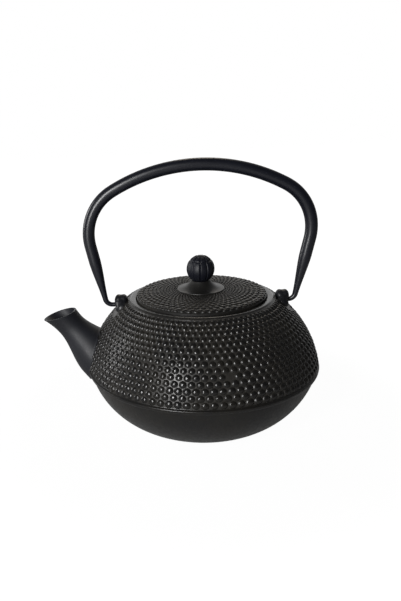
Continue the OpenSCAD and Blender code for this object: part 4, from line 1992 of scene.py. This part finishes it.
@dataclass(frozen=True)
class Infuser:
    """The lift-out infuser: a sheet flange, a wire mesh wall and floor, and a crimped foot."""

    flange_r: float = 43.0
    collar_r: float = 39.3
    sheet: float = 0.7
    flange_z: float = 88.5
    collar_h: float = 8.0
    wall_r: float = 38.55
    foot_z: float = 44.5
    foot_h: float = 7.0
    foot_lip: float = 2.4
    pitch: float = 0.85
    wire: float = 0.24

    INPUTS = {
        "Radius": "Float", "Low": "Float", "High": "Float", "Pitch": "Float", "Wire": "Float",
        "Finish": "Material",
    }

    def build(self) -> list[bpy.types.Object]:
        """Build the flange, wall, floor and foot.

        Returns:
            The pieces.
        """
        made = [self.flange(), self.mesh(Weave.WALL), self.mesh(Weave.FLOOR), self.foot()]
        finishes = (SHEET_STEEL, MESH_STEEL, MESH_STEEL, SHEET_STEEL)
        nodes = ("infuser_rim", "infuser_wall", "infuser_floor", "infuser_foot_band")
        for piece, finish, node in zip(made, finishes, nodes):
            seat(piece, Body.INFUSER, finish, node)
        return made

    def flange(self) -> bpy.types.Object:
        """The flange that hangs on the pot's ledge, with its short collar.

        Returns:
            The piece.
        """
        inner, outer = self.collar_r - self.sheet, self.collar_r
        low, ledge, top = self.flange_z - self.collar_h, self.flange_z, self.flange_z + self.sheet
        corners = [(inner, low), (outer, low), (outer, ledge)]
        corners += [(self.flange_r, ledge), (self.flange_r, top), (inner, top)]
        profile = rounded(corners, (0.15, 0.15, 0.3, 0.3, 0.3, 0.65))
        return turned("infuser_flange", profile, SHEET_STEEL, 144, 50.0)

    def foot(self) -> bpy.types.Object:
        """The band that holds the wall and the floor together.

        Returns:
            The piece.
        """
        inner, outer, lip = self.collar_r - self.sheet, self.collar_r, self.collar_r - self.foot_lip
        low, floor, top = self.foot_z, self.foot_z + self.sheet, self.foot_z + self.foot_h
        corners = [(lip, low), (outer, low), (outer, top), (inner, top), (inner, floor), (lip, floor)]
        profile = rounded(corners, (0.2, 0.65, 0.3, 0.1, 0.1, 0.2))
        return turned("infuser_foot", profile, SHEET_STEEL, 144, 50.0)

    def mesh(self, part: Weave) -> bpy.types.Object:
        """The wires of the wall or the floor.

        Args:
            part: Which of the two to make.

        Returns:
            The piece, as one plain mesh.
        """
        g = GeometryGraph("infuser_mesh_" + part.value, self.INPUTS)
        join = g.node("GeometryNodeJoinGeometry")
        for layer in self.wall_wires(g) if part is Weave.WALL else self.floor_wires(g):
            g.plug(layer, join.inputs[0])
        low = self.foot_z + self.sheet
        given = {
            "Radius": self.wall_r * MM, "Low": low * MM, "High": self.flange_z * MM,
            "Pitch": self.pitch * MM, "Wire": self.wire * MM, "Finish": MESH_STEEL.material(),
        }
        return g.piece(Value(g, join.outputs[0]), given, 50.0)

    @staticmethod
    def wall_wires(g: GeometryGraph) -> list[Value]:
        """Upright wires, and rings outside them.

        Args:
            g: The tree's graph.

        Returns:
            The uprights and the rings.
        """
        radius, low, high = g.size["Radius"], g.size["Low"], g.size["High"]
        pitch, wire = g.size["Pitch"], g.size["Wire"]
        inner = radius - wire * 1.5
        places = {"Vertices": (inner * TURN / pitch).floor(), "Radius": inner}
        ring = g.value("GeometryNodeMeshCircle", {"fill_type": "NONE"}, places, 0)
        upright = g.stick(g.vector(0.0, 0.0, low), g.vector(0.0, 0.0, high))
        start, step = g.vector(0.0, 0.0, low + pitch * 0.5), g.vector(0.0, 0.0, pitch)
        levels = g.row(((high - low) / pitch).floor(), start, step)
        hoop = g.circle(radius - wire * 0.5, 120)
        return [g.copies(ring, g.wire(upright, wire)), g.copies(levels, g.wire(hoop, wire))]

    @staticmethod
    def floor_wires(g: GeometryGraph) -> list[Value]:
        """Two crossed layers of straight wires, each cut to the round outline.

        Args:
            g: The tree's graph.

        Returns:
            The layers.
        """
        radius, low, pitch, wire = (g.size[name] for name in ("Radius", "Low", "Pitch", "Wire"))
        count, edge = (radius * 2 / pitch).floor(), radius - wire
        start = g.vector(0.0, g.maths("MULTIPLY", pitch * (count - 1), -0.5), 0.0)
        row = g.row(count, start, g.vector(0.0, pitch, 0.0))
        side = g.parts(g.value("GeometryNodeInputPosition", {}, {}, 0))["Y"]
        half = g.maths("SQRT", g.maths("MAXIMUM", edge * edge - side * side, 1e-8))
        bar = g.wire(g.stick((-1.0, 0.0, 0.0), (1.0, 0.0, 0.0)), wire)
        layers = []
        for turn, lift in ((0.0, 0.5), (math.pi / 2, 1.5)):
            wires = g.copies(row, bar, Scale=g.vector(half, 1.0, 1.0))
            up = g.vector(0.0, 0.0, low + wire * lift)
            given = {"Geometry": wires, "Translation": up, "Rotation": (0.0, 0.0, turn)}
            layers.append(g.value("GeometryNodeTransform", {}, given, 0))
        return layers


# ---- Studio ----


@dataclass(frozen=True)
class Lamp:
    """One soft lamp that looks at the pot, as wide as its size and as tall as asked, in metres."""

    name: str
    place: Triple
    size: float
    power: float
    tall: float
    colour: Triple = (1.0, 1.0, 1.0)
    target: Triple = (0.0, 0.0, 0.07)

    def build(self) -> None:
        """Hang the lamp."""
        data = bpy.data.lights.new(self.name, "AREA")
        data.shape = "RECTANGLE"
        data.size = self.size
        data.size_y = self.tall
        data.energy = self.power
        data.color = self.colour
        lamp = add_object(self.name, data)
        lamp.location = self.place
        way = Vector(self.target) - Vector(self.place)
        lamp.rotation_euler = way.to_track_quat("-Z", "Y").to_euler()


@dataclass(frozen=True)
class Studio:
    """A white floor and background, soft lamps and the camera.

    The sky is mirrored over two spans of its Y direction, one wide and faint, one narrow and full. The
    floor's glow falls to its share beside the pot over a span of squared metres.
    """

    focal_px: float = 586.9
    frame_px: tuple[int, int] = (401, 601)
    axis_px: Pair = (132.0, 345.0)
    camera_at: Triple = (-0.0178, -0.396, 0.2122)
    camera_turn: Triple = (68.53, 2.97, 3.49)
    sensor: float = 36.0
    nearest: float = 0.01
    sky: float = 0.035
    sky_colour: Triple = (1.0, 0.99, 0.98)
    mirrored: float = 0.2
    backdrop: float = 1.0
    wide: Pair = (0.0, 0.5)
    narrow: Pair = (0.72, 0.92)
    floor_half: float = 3.0
    floor_paint: Triple = (0.5, 0.5, 0.5)
    floor_glow: float = 1.06
    floor_mirrored: float = 0.05
    beside: float = 0.92
    fade: Pair = (0.015, 0.06)
    lamps: tuple[Lamp, ...] = (
        Lamp("window", (-0.45, -0.84, 0.36), 0.12, 9.4, 0.58),
        Lamp("side", (-0.97, 0.22, 0.32), 0.18, 2.7, 0.5),
        Lamp("back", (0.05, 0.6, 0.7), 0.24, 0.7, 0.24, (1.0, 0.90, 0.76)),
    )

    def build(self) -> None:
        """Set up the floor, the world, the lamps and the camera."""
        self.world()
        self.floor()
        for lamp in self.lamps:
            lamp.build()
        self.camera()

    def camera(self) -> None:
        """The camera, with the small shift that its framing needs."""
        width, height = self.frame_px
        long_side = max(width, height)
        data = bpy.data.cameras.new("camera")
        data.sensor_fit = "AUTO"
        data.sensor_width = self.sensor
        data.lens = self.sensor * self.focal_px / long_side
        data.shift_x = (width / 2 - self.axis_px[0]) / long_side
        data.shift_y = (self.axis_px[1] - height / 2) / long_side
        data.clip_start = self.nearest
        camera = add_object("camera", data)
        camera.location = self.camera_at
        camera.rotation_euler = Euler([math.radians(a) for a in self.camera_turn])
        bpy.context.scene.camera = camera

    def world(self) -> None:
        """A dim even sky, white where it is seen and paler behind the pot where it is mirrored."""
        world = bpy.data.worlds.new("studio")
        world.use_nodes = True
        bpy.context.scene.world = world
        g = Graph(world.node_tree)
        back = g.parts(g.value("ShaderNodeTexCoord", {}, {}, "Generated"))["Y"]
        behind = back.spread(*self.wide, 0.0, self.mirrored) + back.spread(*self.narrow, 0.0, self.backdrop)
        sockets = {"Color": (*self.sky_colour, 1.0), "Strength": self.sky}
        glow = g.value("ShaderNodeBackground", {}, sockets, 0)
        white = g.value("ShaderNodeBackground", {}, {"Color": WHITE, "Strength": 1.0}, 0)
        mixed = g.value("ShaderNodeMixShader", {}, {0: self.seen(g, behind), 1: glow, 2: white}, 0)
        g.node("ShaderNodeOutputWorld", {}, {"Surface": mixed})

    @staticmethod
    def seen(g: Graph, behind: Value | float) -> Value:
        """How much of the white background a ray meets.

        Args:
            g: The graph to add to.
            behind: How much of it mirrored rays meet here.

        Returns:
            One for rays from the camera and transmitted rays.
        """
        path = g.node("ShaderNodeLightPath")
        camera, mirror, through = (
            Value(g, path.outputs[f"Is {kind} Ray"]) for kind in ("Camera", "Glossy", "Transmission")
        )
        return (camera + mirror * behind + through).clamp()

    def floor(self) -> None:
        """A white floor that keeps a faint shadow, and glows a little less beside the pot."""
        half = self.floor_half
        corners = [(x * half, y * half, 0.0) for x, y in ((-1, -1), (1, -1), (1, 1), (-1, 1))]
        mesh = bpy.data.meshes.new("floor")
        mesh.from_pydata(corners, [], [(0, 1, 2, 3)])
        made = add_object("floor", mesh)
        material = bpy.data.materials.new("white floor")
        material.use_nodes = True
        g = Graph(material.node_tree)
        paint = g.value("ShaderNodeBsdfDiffuse", {}, {"Color": (*self.floor_paint, 1.0)}, 0)
        white = g.value("ShaderNodeEmission", {}, {"Color": WHITE, "Strength": self.floor_glow}, 0)
        spot = g.parts(g.value("ShaderNodeTexCoord", {}, {}, "Object"))
        away = (spot["X"] * spot["X"] + spot["Y"] * spot["Y"]).spread(*self.fade, self.beside, 1.0)
        shown = self.seen(g, self.floor_mirrored) * away
        mixed = g.value("ShaderNodeMixShader", {}, {0: shown, 1: paint, 2: white}, 0)
        g.node("ShaderNodeOutputMaterial", {}, {"Surface": mixed})
        mesh.materials.append(material)


def main() -> None:
    """Build the studio, then the teapot."""
    logging.basicConfig(level=logging.INFO, format="%(name)s: %(message)s")
    bpy.context.scene.view_settings.view_transform = "Standard"
    Studio().build()
    pieces: list[bpy.types.Object] = []
    for part in (Pot(), Bail(), Lid(), Knob(), Infuser()):
        made = part.build()
        pieces += made
        log.info("%s: %s", type(part).__name__, ", ".join(piece.name for piece in made))
    log.info("%d pieces", len(pieces))


if __name__ == "__main__":
    main()
